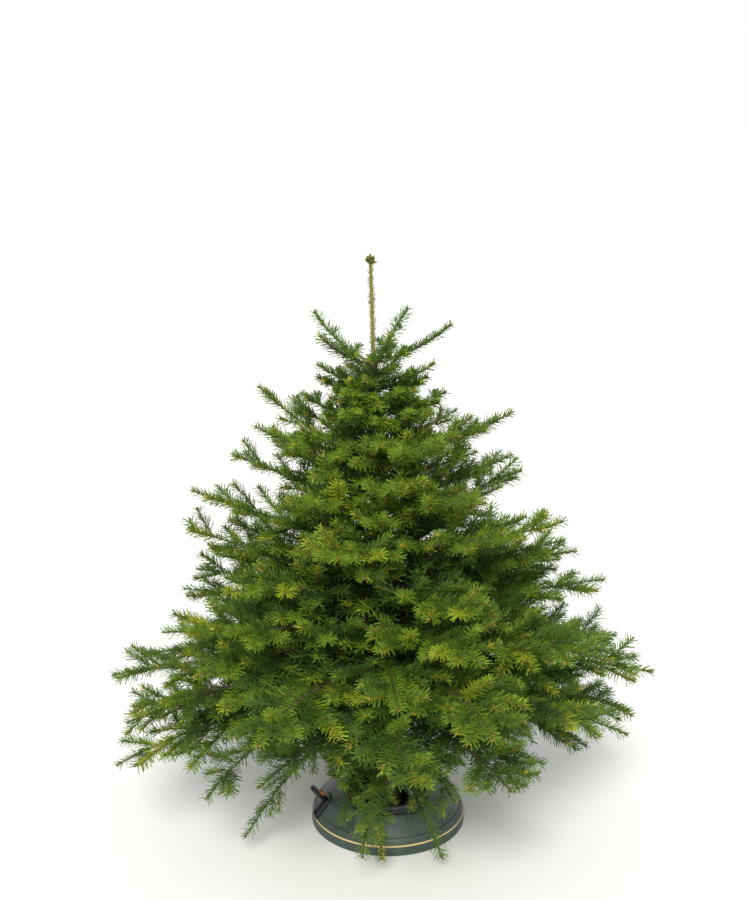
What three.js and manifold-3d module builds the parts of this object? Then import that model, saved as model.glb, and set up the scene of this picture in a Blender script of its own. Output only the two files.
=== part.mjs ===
// A young fir cut as a Christmas tree, clamped in a round foot-operated stand.
// Millimetres, +Z up. The origin is the middle of the stand's flat underside; -Y is the front.
import * as THREE from 'three';
import { mergeVertices } from 'three/addons/utils/BufferGeometryUtils.js';
import Module from 'manifold-3d';

const wasm = await Module();
wasm.setup();

// ---------------------------------------------------------------- driving dimensions
const CLEAR = 0.3; // gap between pieces that touch on the real thing
const WALL = 4; // thickness of the stand's moulded walls

const STAND_RADIUS = 180;
const STAND_TOP = 138; // height of the two shoulders
const SADDLE_HALF = 95; // half the width of the notch at the front and back
const SADDLE_FLOOR = 78; // height of the notch's lower edge
const SADDLE_ROUND = 30;
const SADDLE_STEPS = 4; // facets in each rounded corner of the notch
const STAND_SIDES = 36;
// The stand's outlines are [radius, height] points.
const SKIRT_TOP = [171, 39]; // the edge over the gilt line
const SKIRT_SHELF = [168, 39];
const DOME = [[166, 43], [147, 69], [126, 95], [113, 128]]; // the bell above it, rounded through these
const DOME_STEPS = 4;
const SHOULDER_OUTER = 108;
const SHOULDER_INNER = 104;
const COVER_INSIDE = [[108, 126], [121, 92], [144, 63], [166, 32], [176, 0]];

const RING_LOW = 21; // the thin gilt line let into the skirt
const RING_HIGH = 26;
const RING_DEPTH = 3;
const RING_SUNK = 0.9; // how far its face stands inside the foot's radius
const GROOVE_LIP = 1.5; // the same for the groove's lip

const FLOOR_THICK = 8; // bottom of the water basin
const FLOOR_EDGE = 6; // the floor plate's thickness at its rim
const BASIN_INNER = 92;
const BASIN_TOP = 70;
const BASIN_WALL = WALL + 2;
const COLLAR_OUTER = 130;
const COLLAR_THICK = 6;
const COLLAR_LIP = 82; // height of the pale lip
const LIP_FOOT = 110; // radii of the lip's foot and of its rounded top
const LIP_OUTER = 107;
const LIP_INNER = 103;

const CLAW_COUNT = 4;
const CLAW_FIRST = 45; // azimuth of the first claw
const CLAW_WIDTH = 12;
const CLAW_TOP = 104;
const CLAW_WALL = BASIN_INNER - CLEAR - 0.2; // radius of the face that rides on the basin's wall
const CLAW_OUTSIDE = [[CLAW_WALL, 34], [CLAW_WALL, 62], [BASIN_INNER - 4, 69], [82, 96]];
const CLAW_NOSE = [[62, CLAW_TOP], [28, 99], [28, 82]];
const CLAW_INSIDE = [[56, 90], [74, 80], [80, 34]];

const LEVER_AZIMUTH = 197; // degrees round from +X
const LEVER_PIVOT_RADIUS = 120;
const LEVER_PIVOT_HEIGHT = 33;
const LEVER_RISE = 47; // degrees above level at rest
const LEVER_TRAVEL = 38; // degrees that the foot presses it down
const LEVER_STOPS = [0, 0.25, 0.5, 0.75, 1]; // shares of the travel that the foliage is kept clear of
const LEVER_LENGTH = 98;
const LEVER_ARM = 12;
const LEVER_PADDLE = 34;
const LEVER_PADDLE_START = 60;
const LEVER_SHOULDER = 6; // length over which the arm widens
const LEVER_CORNER = 3;
const LEVER_THICK = 8;
const BOSS_RADIUS = 9;
const BOSS_LENGTH = LEVER_ARM + 4;
const EAR = [[106, 3], [136, 3], [130, 44], [110, 44]]; // one of the two ears that carry the boss
const EAR_GAP = [[100, 8], [140, 8], [140, 50], [100, 50]];
const EAR_PLAY = 2 + CLEAR; // room on each side of the boss
const CATCH_TOP = 8.5; // radii of the round catch
const CATCH_FOOT = 9.5;
const CATCH_THICK = 5;
const CATCH_PLACE = LEVER_PADDLE_START + 8;
const SLOT_WIDTH = 20;
const SLOT = [[130, 29], [200, 29], [200, 76], [130, 76]];
const GUIDE_WIDTH = SLOT_WIDTH + 10;
const GUIDE_HEIGHTS = [28, 39, 43, 56, 69, 78];
const GUIDE_LIFT = 1; // the guide's faces over the cover's skin
const GUIDE_TOP = 4;
const GUIDE_SLOT = [[130, 33], [200, 33], [200, 73], [130, 73]];

const TREE_HEIGHT = 1337;
const TRUNK_LEAN = -0.031; // sideways drift of the trunk's middle for each unit of height
const TRUNK_SIDES = 12;
const TRUNK_FOOT = FLOOR_THICK + CLEAR;
const TRUNK_THICK = 33; // what the taper takes off the foot's radius
const TRUNK_TAPER = 1.15;
const LEADER_RADIUS = 3.2;
const FLARE = { over: 3.5, fade: 45 }; // the swelling at the foot, and the height over which it fades
const BUD = { over: 2.6, drop: 9, fade: 7 }; // the bud's swelling, how far under the tip it sits, and its spread
const BUD_TIP = 1.5;
const TRUNK_RINGS = [40, 110, 200, 300, 420, 560, 700, 840, 960, 1060, 1150, 1240, 1312];
const BUD_RINGS = [16, 8, 0]; // measured down from the tip

const SEED = 20613; // the one seed that every branch draws from
const ROW_STRIDE = 101; // what keeps the draws of two rings and of two branches apart
const BRANCH_STRIDE = 7;
const AZIMUTH_PLAY = 14; // degrees
const REACH_PLAY = 0.1; // share of the reach
const TIP_PLAY = 0.07; // share of the reach
const BEND_PLAY = 16; // degrees that the branch swings by its tip
const BOUGH_SIDES = 6;
const BOUGH_STOPS = [0, 0.25, 0.5, 0.75, 1];
const STEM_ROOT = 1.12; // a stem's radius at its root and how fast it falls, over the row's own
const STEM_FALL = 0.78;

// Side twigs: where along the branch the first and last stand, how wide they open and how long they are.
const TWIG_FIRST = 0.2;
const TWIG_AFTER_BOUGH = 0.06;
const TWIG_LAST = 0.86;
const TWIG_STAGGER = [0, 0.62, 0.3]; // of the left, the right and the upper twig of one place, in strides
const TWIG_PLAY = 0.3;
const OPEN_ROOT = 56; // degrees off the stem at the root
const OPEN_FALL = 18;
const OPEN_PLAY = 8;
const TOP_STAND = 0.9; // how steeply an upper twig stands
const RISE_PLAY = 0.34;
const RISE_LOW = 0.3;
const TOP_SHARE = 0.62; // an upper twig's length over a side twig's
const LENGTH_ROOT = 1.18;
const LENGTH_LOW = 0.92;
const LENGTH_PLAY = 0.2;

// The slice of the crown that a branch keeps to.
const FLOOR_GAP = 6;
const REACH_LIMIT = 1.02;
const SLICE_RADIUS = 260;
const SLICE_WIDEST = 60; // degrees
const SLICE_SHARED = 190;

// Each row is a ring of branches: z is where it leaves the trunk, reach how far its tips stand from the trunk, tip
// how high they end, arch how far the middle stands over the straight line, phase the first branch's azimuth and
// step the degrees to the next. front is how much the tips on the front side are lifted, wide the fan's half width
// over its length, pairs the number of side twigs on each side, tops how many stand up off the stem, stem the
// radius at its root, and bough the share of the length that is bare.
const WHORLS = [
  { name: 'crown_shoot', z: 1098, count: 5, reach: 170, tip: 1188, arch: -14,
    phase: 0, step: 72, front: 0, wide: 0.36, pairs: 2, tops: 0, stem: 4.5, bough: 0 },
  { name: 'neck_shoot', z: 1036, count: 2, reach: 126, tip: 1092, arch: -6,
    phase: 6, step: 180, front: 0, wide: 0.30, pairs: 1, tops: 0, stem: 3.5, bough: 0 },
  { name: 'upper_mass', z: 872, count: 5, reach: 312, tip: 1006, arch: -18,
    phase: 2, step: 72, front: 0, wide: 0.42, pairs: 2, tops: 1, stem: 7, bough: 0 },
  { name: 'upper_fill', z: 792, count: 3, reach: 292, tip: 900, arch: -4,
    phase: 30, step: 120, front: 0, wide: 0.40, pairs: 2, tops: 0, stem: 6, bough: 0 },
  { name: 'middle_mass', z: 672, count: 5, reach: 428, tip: 806, arch: -8,
    phase: 36, step: 72, front: 0, wide: 0.44, pairs: 3, tops: 1, stem: 8, bough: 0 },
  { name: 'middle_fill', z: 586, count: 2, reach: 430, tip: 690, arch: 4,
    phase: 178, step: 180, front: 0, wide: 0.40, pairs: 3, tops: 0, stem: 7, bough: 0 },
  { name: 'lower_mass', z: 486, count: 5, reach: 528, tip: 588, arch: 12,
    phase: 2, step: 72, front: 10, wide: 0.46, pairs: 3, tops: 1, stem: 9, bough: 0 },
  { name: 'skirt_mass', z: 372, count: 6, reach: 600, tip: 402, arch: 34,
    phase: 0, step: 60, front: 60, wide: 0.46, pairs: 3, tops: 0, stem: 10, bough: 0.26 },
  { name: 'hem_mass', z: 286, count: 5, reach: 606, tip: 222, arch: 52,
    phase: -56, step: 63, front: 60, wide: 0.46, pairs: 3, tops: 1, stem: 9, bough: 0 },
  { name: 'low_spray', z: 236, count: 3, reach: 330, tip: 84, arch: 40,
    phase: 228, step: 38, front: 0, wide: 0.40, pairs: 2, tops: 0, stem: 5, bough: 0 },
];

const SMOOTHING = 0.8; // the smallest step kept on a mass
const MASS_GAP = 0.6; // the least room left between two masses
const CORE_SIDES = 4;
const CORE_SHARE = 0.03; // half thickness of the needle-clad stem over the branch's reach
const CORE_LEAST = 3;
const CORE_FALL = 0.5; // how fast it thins past its thickest place
const CORE_FULL = 0.42; // where along the branch it is thickest
const CORE_ROOT = 0.9; // its radius at the root over the stem's
const STEM_END = 0.76; // where the stem gives way to its end spray
const SPRAY_SUNK = 0.03; // how far the end spray reaches back into it
const END_WIDTH = { share: 0.3, least: 26, teeth: 3, root: 0.5 }; // the end spray
const SIDE_WIDTH = { share: 0.42, least: 14, root: 0.13 }; // the side sprays
const SIDE_LONG = 170; // a spray longer than this has three teeth on a side, not two
const SIDE_ROLL = 0.6;
const BLADE_FIRST = 0.42; // where along a spray its first and last teeth stand
const BLADE_LAST = 0.84;
const BLADE_TOOTH = 0.04; // length of a tooth's back
const BLADE_FALL = 0.42; // how much narrower the last tooth is
const BLADE_CURVE = 1.5;
const BLADE_NOTCH = 0.5; // depth of the notch behind each tooth
const BLADE_CREST = 0.45; // where the ridge is highest
const BLADE_THICK = 0.17; // its height over the spray's width
const BLADE_ROOT = { ridge: 1.2, sunk: 0.5 }; // the ridge's height at the root and how low the blade lies, in radii

const rad = THREE.MathUtils.degToRad;
const UP = new THREE.Vector3(0, 0, 1);

// ---------------------------------------------------------------- solids
/** A closed three.js geometry as a solid, with its faces turned outward. */
function toSolid(geometry) {
  const bare = geometry.clone();
  bare.deleteAttribute('normal');
  bare.deleteAttribute('uv');
  const merged = mergeVertices(bare, 1e-4);
  const vertProperties = new Float32Array(merged.attributes.position.array);
  const triVerts = new Uint32Array(merged.index.array);
  const solid = new wasm.Manifold(new wasm.Mesh({ numProp: 3, vertProperties, triVerts }));
  if (solid.volume() > 0) return solid;
  return new wasm.Manifold(new wasm.Mesh({ numProp: 3, vertProperties, triVerts: triVerts.reverse() }));
}

/** A solid as a three.js geometry. */
function toGeometry(solid) {
  const mesh = solid.getMesh();
  const geometry = new THREE.BufferGeometry();
  geometry.setAttribute('position', new THREE.BufferAttribute(new Float32Array(mesh.vertProperties), 3));
  geometry.setIndex(new THREE.BufferAttribute(new Uint32Array(mesh.triVerts), 1));
  geometry.computeVertexNormals();
  return geometry;
}

/** The solid's largest connected body, with any loose scrap dropped. */
function largestBody(solid) {
  const bodies = solid.decompose();
  return bodies.reduce((best, body) => (body.volume() > best.volume() ? body : best));
}

/** A solid of revolution about the Z axis from [radius, height] points. */
function turned(points, sides = STAND_SIDES) {
  const profile = points.map(([r, z]) => new THREE.Vector2(r, z));
  const onAxis = points[0][0] === 0;
  if (!onAxis) profile.push(profile[0].clone());
  return toSolid(new THREE.LatheGeometry(profile, sides).rotateX(Math.PI / 2));
}

/** A plate whose outline is given as [radius, height] points in the upright plane at an azimuth. */
function uprightPlate(points, width, azimuth) {
  const outline = new THREE.Shape(points.map(([r, z]) => new THREE.Vector2(r, z)));
  const plate = new THREE.ExtrudeGeometry(outline, { depth: width, bevelEnabled: false });
  return toSolid(plate.translate(0, 0, -width / 2).rotateX(Math.PI / 2).rotateZ(rad(azimuth)));
}

/** A tapering limb with flat ends through a line of points, each with its own radius. */
function limb(points, radii, sides) {
  const position = [];
  const index = [];
  const last = points.length - 1;
  let across = null;
  points.forEach((point, i) => {
    const along = points[Math.min(i + 1, last)].clone().sub(points[Math.max(i - 1, 0)]).normalize();
    const seedAxis = across ?? (Math.abs(along.z) > 0.9 ? new THREE.Vector3(1, 0, 0) : UP);
    across = seedAxis.clone().addScaledVector(along, -seedAxis.dot(along)).normalize();
    const third = new THREE.Vector3().crossVectors(along, across);
    for (let k = 0; k < sides; k++) {
      const turn = (2 * Math.PI * (k + 0.5)) / sides;
      const corner = point.clone();
      corner.addScaledVector(across, radii[i] * Math.cos(turn));
      corner.addScaledVector(third, radii[i] * Math.sin(turn));
      position.push(...corner.toArray());
    }
  });
  for (let i = 0; i < last; i++) {
    for (let k = 0; k < sides; k++) {
      const [a, b] = [i * sides + k, i * sides + ((k + 1) % sides)];
      index.push(a, b, a + sides, b, b + sides, a + sides);
    }
  }
  for (let k = 1; k < sides - 1; k++) {
    index.push(0, k + 1, k, last * sides, last * sides + k, last * sides + k + 1);
  }
  const geometry = new THREE.BufferGeometry();
  geometry.setAttribute('position', new THREE.Float32BufferAttribute(position, 3));
  return toSolid(geometry.setIndex(index));
}

/**
 * A spray of needles: a side twig that swells into a blade with forward-pointing teeth, flat underneath and with
 * a ridge on top. The root is a slim triangle, so that it sinks into a stem of about that radius.
 */
function toothedBlade(root, along, side, length, width, teeth, rootRadius) {
  const normal = new THREE.Vector3().crossVectors(side, along).normalize();
  const at = (u, across, up) => {
    const point = root.clone().addScaledVector(along, u * length);
    return point.addScaledVector(side, across).addScaledVector(normal, up);
  };
  const flank = [];
  for (let i = 0; i < teeth; i++) {
    const u = BLADE_FIRST + ((BLADE_LAST - BLADE_FIRST) * i) / (teeth - 1);
    const half = 0.5 * width * (1 - BLADE_FALL * (i / (teeth - 1)) ** BLADE_CURVE);
    flank.push([u, half], [u + BLADE_TOOTH, half * BLADE_NOTCH]);
  }
  const otherFlank = flank.map(([u, v]) => [u, -v]).reverse();
  const outline = [[0, rootRadius], ...flank, [1, 0], ...otherFlank, [0, -rootRadius]];
  const count = outline.length;
  const crest = [[0, BLADE_ROOT.ridge * rootRadius], [BLADE_CREST, BLADE_THICK * width]];
  const base = -BLADE_ROOT.sunk * rootRadius;
  const corners = [...outline.map(([u, v]) => at(u, v, base)), ...crest.map(([u, up]) => at(u, 0, up + base))];
  const nearest = (i) => count + (outline[i][0] < 0.5 * BLADE_FIRST ? 0 : 1);
  const index = [count - 1, 0, count];
  for (let i = 0; i < count - 1; i++) {
    index.push(i, i + 1, nearest(i));
    if (nearest(i) !== nearest(i + 1)) index.push(i + 1, nearest(i + 1), nearest(i));
  }
  const flat = outline.map(([u, v]) => new THREE.Vector2(u * length, v));
  for (const [i, j, k] of THREE.ShapeUtils.triangulateShape(flat, [])) index.push(i, j, k);
  const geometry = new THREE.BufferGeometry();
  geometry.setAttribute('position', new THREE.Float32BufferAttribute(corners.flatMap((p) => p.toArray()), 3));
  return toSolid(geometry.setIndex(index));
}

// ---------------------------------------------------------------- stand
const dome = new THREE.SplineCurve(DOME.map(([r, z]) => new THREE.Vector2(r, z)));
const domeLine = dome.getPoints(DOME_STEPS).map((p) => [p.x, p.y]);

/** The stand's outer skin at a height, along the dome. */
function skinRadius(height) {
  const line = [[STAND_RADIUS, 0], [STAND_RADIUS - 2, RING_HIGH], SKIRT_TOP, ...domeLine];
  const i = Math.max(1, line.findIndex(([, z]) => z >= height));
  const [[r0, z0], [r1, z1]] = [line[i - 1], line[i]];
  return r0 + ((r1 - r0) * (height - z0)) / (z1 - z0);
}

/** The moulded cover: a bell with a notch front and back, and a slot for the lever. */
function buildHousing() {
  const groove = STAND_RADIUS - GROOVE_LIP - RING_DEPTH;
  const outer = [
    [STAND_RADIUS, 0], [STAND_RADIUS - 1, RING_LOW], [groove, RING_LOW], [groove, RING_HIGH],
    [STAND_RADIUS - 2, RING_HIGH], SKIRT_TOP, SKIRT_SHELF, ...domeLine, [SHOULDER_OUTER, STAND_TOP],
    [SHOULDER_INNER, STAND_TOP],
  ];
  const saddle = new THREE.Shape();
  saddle.moveTo(-SADDLE_HALF, 2 * STAND_TOP);
  saddle.lineTo(-SADDLE_HALF, SADDLE_FLOOR + SADDLE_ROUND);
  const corner = SADDLE_HALF - SADDLE_ROUND;
  const level = SADDLE_FLOOR + SADDLE_ROUND;
  saddle.absarc(-corner, level, SADDLE_ROUND, Math.PI, 1.5 * Math.PI, false);
  saddle.absarc(corner, level, SADDLE_ROUND, 1.5 * Math.PI, 2 * Math.PI, false);
  saddle.lineTo(SADDLE_HALF, 2 * STAND_TOP);
  const through = { depth: 4 * STAND_RADIUS, bevelEnabled: false, curveSegments: SADDLE_STEPS };
  const notch = new THREE.ExtrudeGeometry(saddle, through);
  notch.translate(0, 0, -2 * STAND_RADIUS).rotateX(Math.PI / 2);
  const slot = uprightPlate(SLOT, SLOT_WIDTH, LEVER_AZIMUTH);
  return turned([...outer, ...COVER_INSIDE]).subtract(toSolid(notch)).subtract(slot);
}

/** The water basin and the floor plate that the whole stand rests on, with the lever's two ears. */
function buildBase() {
  const edge = STAND_RADIUS - WALL - CLEAR;
  const outer = BASIN_INNER + BASIN_WALL;
  const bowl = turned([
    [0, 0], [edge, 0], [edge - 2, FLOOR_EDGE], [outer, FLOOR_EDGE], [outer, BASIN_TOP],
    [BASIN_INNER, BASIN_TOP], [BASIN_INNER, FLOOR_THICK], [0, FLOOR_THICK],
  ]);
  const gap = LEVER_ARM / 2 + EAR_PLAY;
  const ears = uprightPlate(EAR, 2 * gap + 2 * WALL, LEVER_AZIMUTH);
  return bowl.add(ears.subtract(uprightPlate(EAR_GAP, 2 * gap, LEVER_AZIMUTH)));
}

/** The deck round the basin's mouth, with its raised pale lip. */
function buildCollar() {
  const low = BASIN_TOP + CLEAR;
  const [high, bore] = [low + COLLAR_THICK, BASIN_INNER - 2];
  return turned([
    [bore, low], [COLLAR_OUTER, low], [COLLAR_OUTER, high], [LIP_FOOT, high],
    [LIP_OUTER, COLLAR_LIP], [LIP_INNER, COLLAR_LIP], [bore, high + 1],
  ]);
}

/** One claw: hinged on the basin's wall, it leans over and grips the trunk. */
function buildClaw(azimuth, trunkRoom) {
  const outline = [...CLAW_OUTSIDE, ...CLAW_NOSE, ...CLAW_INSIDE];
  return largestBody(uprightPlate(outline, CLAW_WIDTH, azimuth).subtract(trunkRoom));
}

/** The thin gilt line set in its groove. */
function buildRing() {
  const inner = STAND_RADIUS - GROOVE_LIP - RING_DEPTH + CLEAR;
  const face = STAND_RADIUS - RING_SUNK;
  const [low, high] = [RING_LOW + CLEAR, RING_HIGH - CLEAR];
  return turned([[inner, low], [face, low], [face, high], [inner, high]]);
}

/** The black guide round the lever's slot, lying on the cover's skin. */
function buildGuide() {
  const inside = GUIDE_HEIGHTS.map((z) => [skinRadius(z) + GUIDE_LIFT, z]);
  const outside = GUIDE_HEIGHTS.map((z) => [skinRadius(z) + GUIDE_TOP, z + 1]).reverse();
  const strip = uprightPlate([...inside, ...outside], GUIDE_WIDTH, LEVER_AZIMUTH);
  return strip.subtract(uprightPlate(GUIDE_SLOT, SLOT_WIDTH - 2, LEVER_AZIMUTH));
}

/** Puts a solid that is drawn level along +X from the lever's pivot in its place, pressed by an angle. */
function placeOnLever(solid, pressed = 0) {
  const tilt = new THREE.Matrix4().makeRotationY(-rad(LEVER_RISE - pressed));
  const out = new THREE.Matrix4().makeTranslation(LEVER_PIVOT_RADIUS, 0, LEVER_PIVOT_HEIGHT);
  const round = new THREE.Matrix4().makeRotationZ(rad(LEVER_AZIMUTH));
  return solid.transform(round.multiply(out).multiply(tilt).elements);
}

/** The foot lever, level along +X from its pivot: a boss, a narrow arm and a round-ended paddle. */
function drawLever() {
  const [arm, paddle] = [LEVER_ARM / 2, LEVER_PADDLE / 2];
  const outline = new THREE.Shape();
  outline.moveTo(0, -arm);
  outline.lineTo(LEVER_PADDLE_START - LEVER_SHOULDER, -arm);
  outline.lineTo(LEVER_PADDLE_START, -paddle + LEVER_CORNER);
  outline.lineTo(LEVER_LENGTH - paddle, -paddle);
  outline.absarc(LEVER_LENGTH - paddle, 0, paddle, -Math.PI / 2, Math.PI / 2, false);
  outline.lineTo(LEVER_PADDLE_START, paddle - LEVER_CORNER);
  outline.lineTo(LEVER_PADDLE_START - LEVER_SHOULDER, arm);
  outline.lineTo(0, arm);
  const upward = { depth: LEVER_THICK, bevelEnabled: false, curveSegments: 10 };
  const plate = new THREE.ExtrudeGeometry(outline, upward);
  const boss = new THREE.CylinderGeometry(BOSS_RADIUS, BOSS_RADIUS, BOSS_LENGTH, 16);
  return toSolid(plate.translate(0, 0, -LEVER_THICK / 2)).add(toSolid(boss));
}

/** The round safety catch on top of the lever's arm. */
function drawCatch() {
  const disc = new THREE.CylinderGeometry(CATCH_TOP, CATCH_FOOT, CATCH_THICK, 16).rotateX(Math.PI / 2);
  return toSolid(disc.translate(CATCH_PLACE, 0, LEVER_THICK / 2 + CATCH_THICK / 2 + CLEAR));
}

// ---------------------------------------------------------------- tree
/** Numbers between 0 and 1 that are always the same for one seed. */
function dice(seed) {
  let state = seed >>> 0;
  return () => {
    state = (state + 0x6d2b79f5) >>> 0;
    let t = state;
    t = Math.imul(t ^ (t >>> 15), t | 1);
    t ^= t + Math.imul(t ^ (t >>> 7), t | 61);
    return ((t ^ (t >>> 14)) >>> 0) / 4294967296;
  };
}

/** The trunk's radius at a height: a swelling at the foot, an even taper, a thin leader and its bud. */
function trunkRadius(height) {
  const share = (height - TRUNK_FOOT) / (TREE_HEIGHT - TRUNK_FOOT);
  const taper = TRUNK_THICK * (1 - share) ** TRUNK_TAPER + LEADER_RADIUS;
  const flare = FLARE.over * Math.exp(-height / FLARE.fade);
  const bud = BUD.over * Math.exp(-(((TREE_HEIGHT - BUD.drop - height) / BUD.fade) ** 2));
  return taper + flare + bud;
}

/** The middle of the trunk at a height. */
function trunkAxis(height) {
  return new THREE.Vector3(TRUNK_LEAN * height, 0, height);
}

/** The trunk from its flat cut to the leader's tip, grown by a margin. */
function buildTrunk(margin = 0) {
  const foot = TRUNK_FOOT - margin;
  const heights = [foot - 5, ...TRUNK_RINGS, ...BUD_RINGS.map((down) => TREE_HEIGHT - down)];
  const points = heights.map(trunkAxis);
  const radii = points.map((p) => (p.z > TREE_HEIGHT - 1 ? BUD_TIP : trunkRadius(p.z)) + margin);
  return limb(points, radii, TRUNK_SIDES).trimByPlane([0, 0, 1], foot);
}

/** A branch's middle line, from the trunk's axis (0) to its tip (1). */
function branchLine(branch) {
  const foot = trunkAxis(branch.z);
  return (t) => {
    const azimuth = rad(branch.azimuth + branch.bend * t * t);
    const distance = branch.reach * t;
    const height = branch.z + (branch.tip - branch.z) * t + 4 * branch.arch * t * (1 - t);
    return new THREE.Vector3(foot.x + distance * Math.cos(azimuth), distance * Math.sin(azimuth), height);
  };
}

/** The branches of one whorl, each with its own small differences. */
function branchesOf(whorl, row) {
  return Array.from({ length: whorl.count }, (_, i) => {
    const draw = dice(SEED + ROW_STRIDE * row + BRANCH_STRIDE * i);
    const azimuth = whorl.phase + whorl.step * i + AZIMUTH_PLAY * (draw() - 0.5);
    const front = Math.max(0, -Math.sin(rad(azimuth)));
    const reach = whorl.reach * (1 + REACH_PLAY * (draw() - 0.5));
    const tip = whorl.tip + whorl.front * front + TIP_PLAY * whorl.reach * (draw() - 0.5);
    const bend = BEND_PLAY * (draw() - 0.5);
    return { ...whorl, azimuth, reach, tip, bend, draw, label: `${whorl.name}_${i + 1}` };
  });
}

/** The side twigs of a branch: where each leaves the stem, its direction and its length. */
function sideTwigs(branch, line) {
  const twigs = [];
  const first = branch.bough ? branch.bough + TWIG_AFTER_BOUGH : TWIG_FIRST;
  const stride = (TWIG_LAST - first) / (branch.pairs - TWIG_PLAY);
  for (let i = 0; i < branch.pairs; i++) {
    for (const hand of [-1, 1, 0]) {
      if (hand === 0 && i >= branch.tops) continue;
      const t = first + stride * (i + TWIG_PLAY * branch.draw() + TWIG_STAGGER[hand + 1]);
      const root = line(t);
      const along = line(Math.min(1, t + 0.04)).sub(line(t - 0.04)).normalize();
      const level = new THREE.Vector3().crossVectors(UP, along).normalize();
      const open = rad(OPEN_ROOT - OPEN_FALL * t + OPEN_PLAY * (branch.draw() - 0.5));
      const direction = along.clone().multiplyScalar(Math.cos(open));
      direction.addScaledVector(hand ? level : UP, (hand || TOP_STAND) * Math.sin(open));
      direction.z += hand ? RISE_PLAY * (branch.draw() - RISE_LOW) : 0;
      const share = (hand ? 1 : TOP_SHARE) * (LENGTH_ROOT - t) * (LENGTH_LOW + LENGTH_PLAY * branch.draw());
      const length = branch.reach * branch.wide * share;
      twigs.push({ t, root, direction: direction.normalize(), length, hand });
    }
  }
  return twigs;
}

/** Whether a point lies in the space that the branch keeps to: its slice of the crown, above the floor. */
function inOwnSpace(branch, point) {
  const foot = trunkAxis(branch.z);
  const [dx, dy] = [point.x - foot.x, point.y];
  const away = Math.hypot(dx, dy);
  const turn = Math.atan2(dy, dx) - rad(branch.azimuth);
  const off = Math.abs(Math.atan2(Math.sin(turn), Math.cos(turn)));
  const slice = SLICE_RADIUS * rad(Math.min(SLICE_WIDEST, SLICE_SHARED / branch.count));
  const aside = off * Math.min(away, SLICE_RADIUS);
  return point.z > FLOOR_GAP && away < branch.reach * REACH_LIMIT && aside < slice;
}

/** The bare, tapering limb that carries a mass, grown by a margin. */
function buildBough(branch, margin = 0) {
  const spots = BOUGH_STOPS.map((share) => share * (branch.bough + margin / branch.reach));
  const radii = spots.map((t) => branch.stem * (STEM_ROOT - STEM_FALL * t) + margin);
  return limb(spots.map(branchLine(branch)), radii, BOUGH_SIDES);
}

/** One mass: a stem with side twigs, and a toothed spray of needles on each, skipped where it would touch a limb. */
function buildMass(branch, limbs, neighbours) {
  const line = branchLine(branch);
  const start = branch.bough ? branch.bough + (CLEAR + 0.1) / branch.reach : 0;
  const coreRadius = CORE_SHARE * branch.reach + CORE_LEAST;
  const coreAt = (t) => coreRadius * (1 - CORE_FALL * Math.max(0, t - CORE_FULL));
  const spots = [start, CORE_FULL, STEM_END];
  const radii = [CORE_ROOT * branch.stem, coreRadius, coreAt(STEM_END)];
  const endRoot = line(STEM_END - SPRAY_SUNK);
  const endAlong = line(1).sub(endRoot);
  const endLevel = new THREE.Vector3().crossVectors(endAlong, UP).normalize();
  const endLength = endAlong.length();
  const endWidth = END_WIDTH.share * endLength + END_WIDTH.least;
  const endRadius = END_WIDTH.root * coreAt(STEM_END);
  endAlong.normalize();
  const sprays = [toothedBlade(endRoot, endAlong, endLevel, endLength, endWidth, END_WIDTH.teeth, endRadius)];
  for (const twig of sideTwigs(branch, line)) {
    const end = twig.root.clone().addScaledVector(twig.direction, twig.length);
    const level = new THREE.Vector3().crossVectors(twig.direction, UP).normalize();
    level.z += SIDE_ROLL * (branch.draw() - 0.5);
    level.addScaledVector(twig.direction, -level.dot(twig.direction)).normalize();
    const width = SIDE_WIDTH.share * twig.length + SIDE_WIDTH.least;
    const teeth = twig.length > SIDE_LONG ? 3 : 2;
    if (!inOwnSpace(branch, end)) continue;
    const rootRadius = SIDE_WIDTH.root * coreAt(twig.t);
    sprays.push(toothedBlade(twig.root, twig.direction, level, twig.length, width, teeth, rootRadius));
  }
  let mass = limb(spots.map(line), radii, CORE_SIDES);
  for (const spray of sprays) {
    const touches = neighbours.some((other) => spray.minGap(other, 1) < MASS_GAP);
    if (!touches) mass = mass.add(spray);
  }
  return largestBody(mass.simplify(SMOOTHING).subtract(limbs));
}

// ---------------------------------------------------------------- assembly
const object = new THREE.Group();

/** Adds a solid to the object under a name, with its own material. */
function place(name, solid, color, roughness, metalness = 0) {
  const material = new THREE.MeshStandardMaterial({ color, roughness, metalness, flatShading: true });
  const mesh = new THREE.Mesh(toGeometry(solid), material);
  mesh.name = name;
  object.add(mesh);
  return solid;
}

const trunkRoom = buildTrunk(CLEAR);
place('trunk', buildTrunk(), 0x6e5a41, 0.9);
const base = place('stand_base', buildBase(), 0x2b3531, 0.5);
const housing = place('stand_housing', buildHousing(), 0x33403b, 0.45);
const collar = place('stand_collar', buildCollar(), 0x3b4644, 0.5);
place('stand_gilt_line', buildRing(), 0xd8c48f, 0.35);
const guide = place('lever_guide', buildGuide(), 0x151716, 0.5);
place('foot_lever', placeOnLever(drawLever()), 0x1b1d1c, 0.55);
place('lever_catch', placeOnLever(drawCatch()), 0xa8642a, 0.5);

const claws = [];
for (let i = 0; i < CLAW_COUNT; i++) {
  const azimuth = CLAW_FIRST + (360 * i) / CLAW_COUNT;
  claws.push(place(`claw_${i + 1}`, buildClaw(azimuth, trunkRoom), 0x8d9290, 0.4, 0.8));
}

const sweeps = LEVER_STOPS.map((share) => placeOnLever(drawLever(), share * LEVER_TRAVEL));
const stand = [base, housing, collar, guide, ...claws, ...sweeps];

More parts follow.
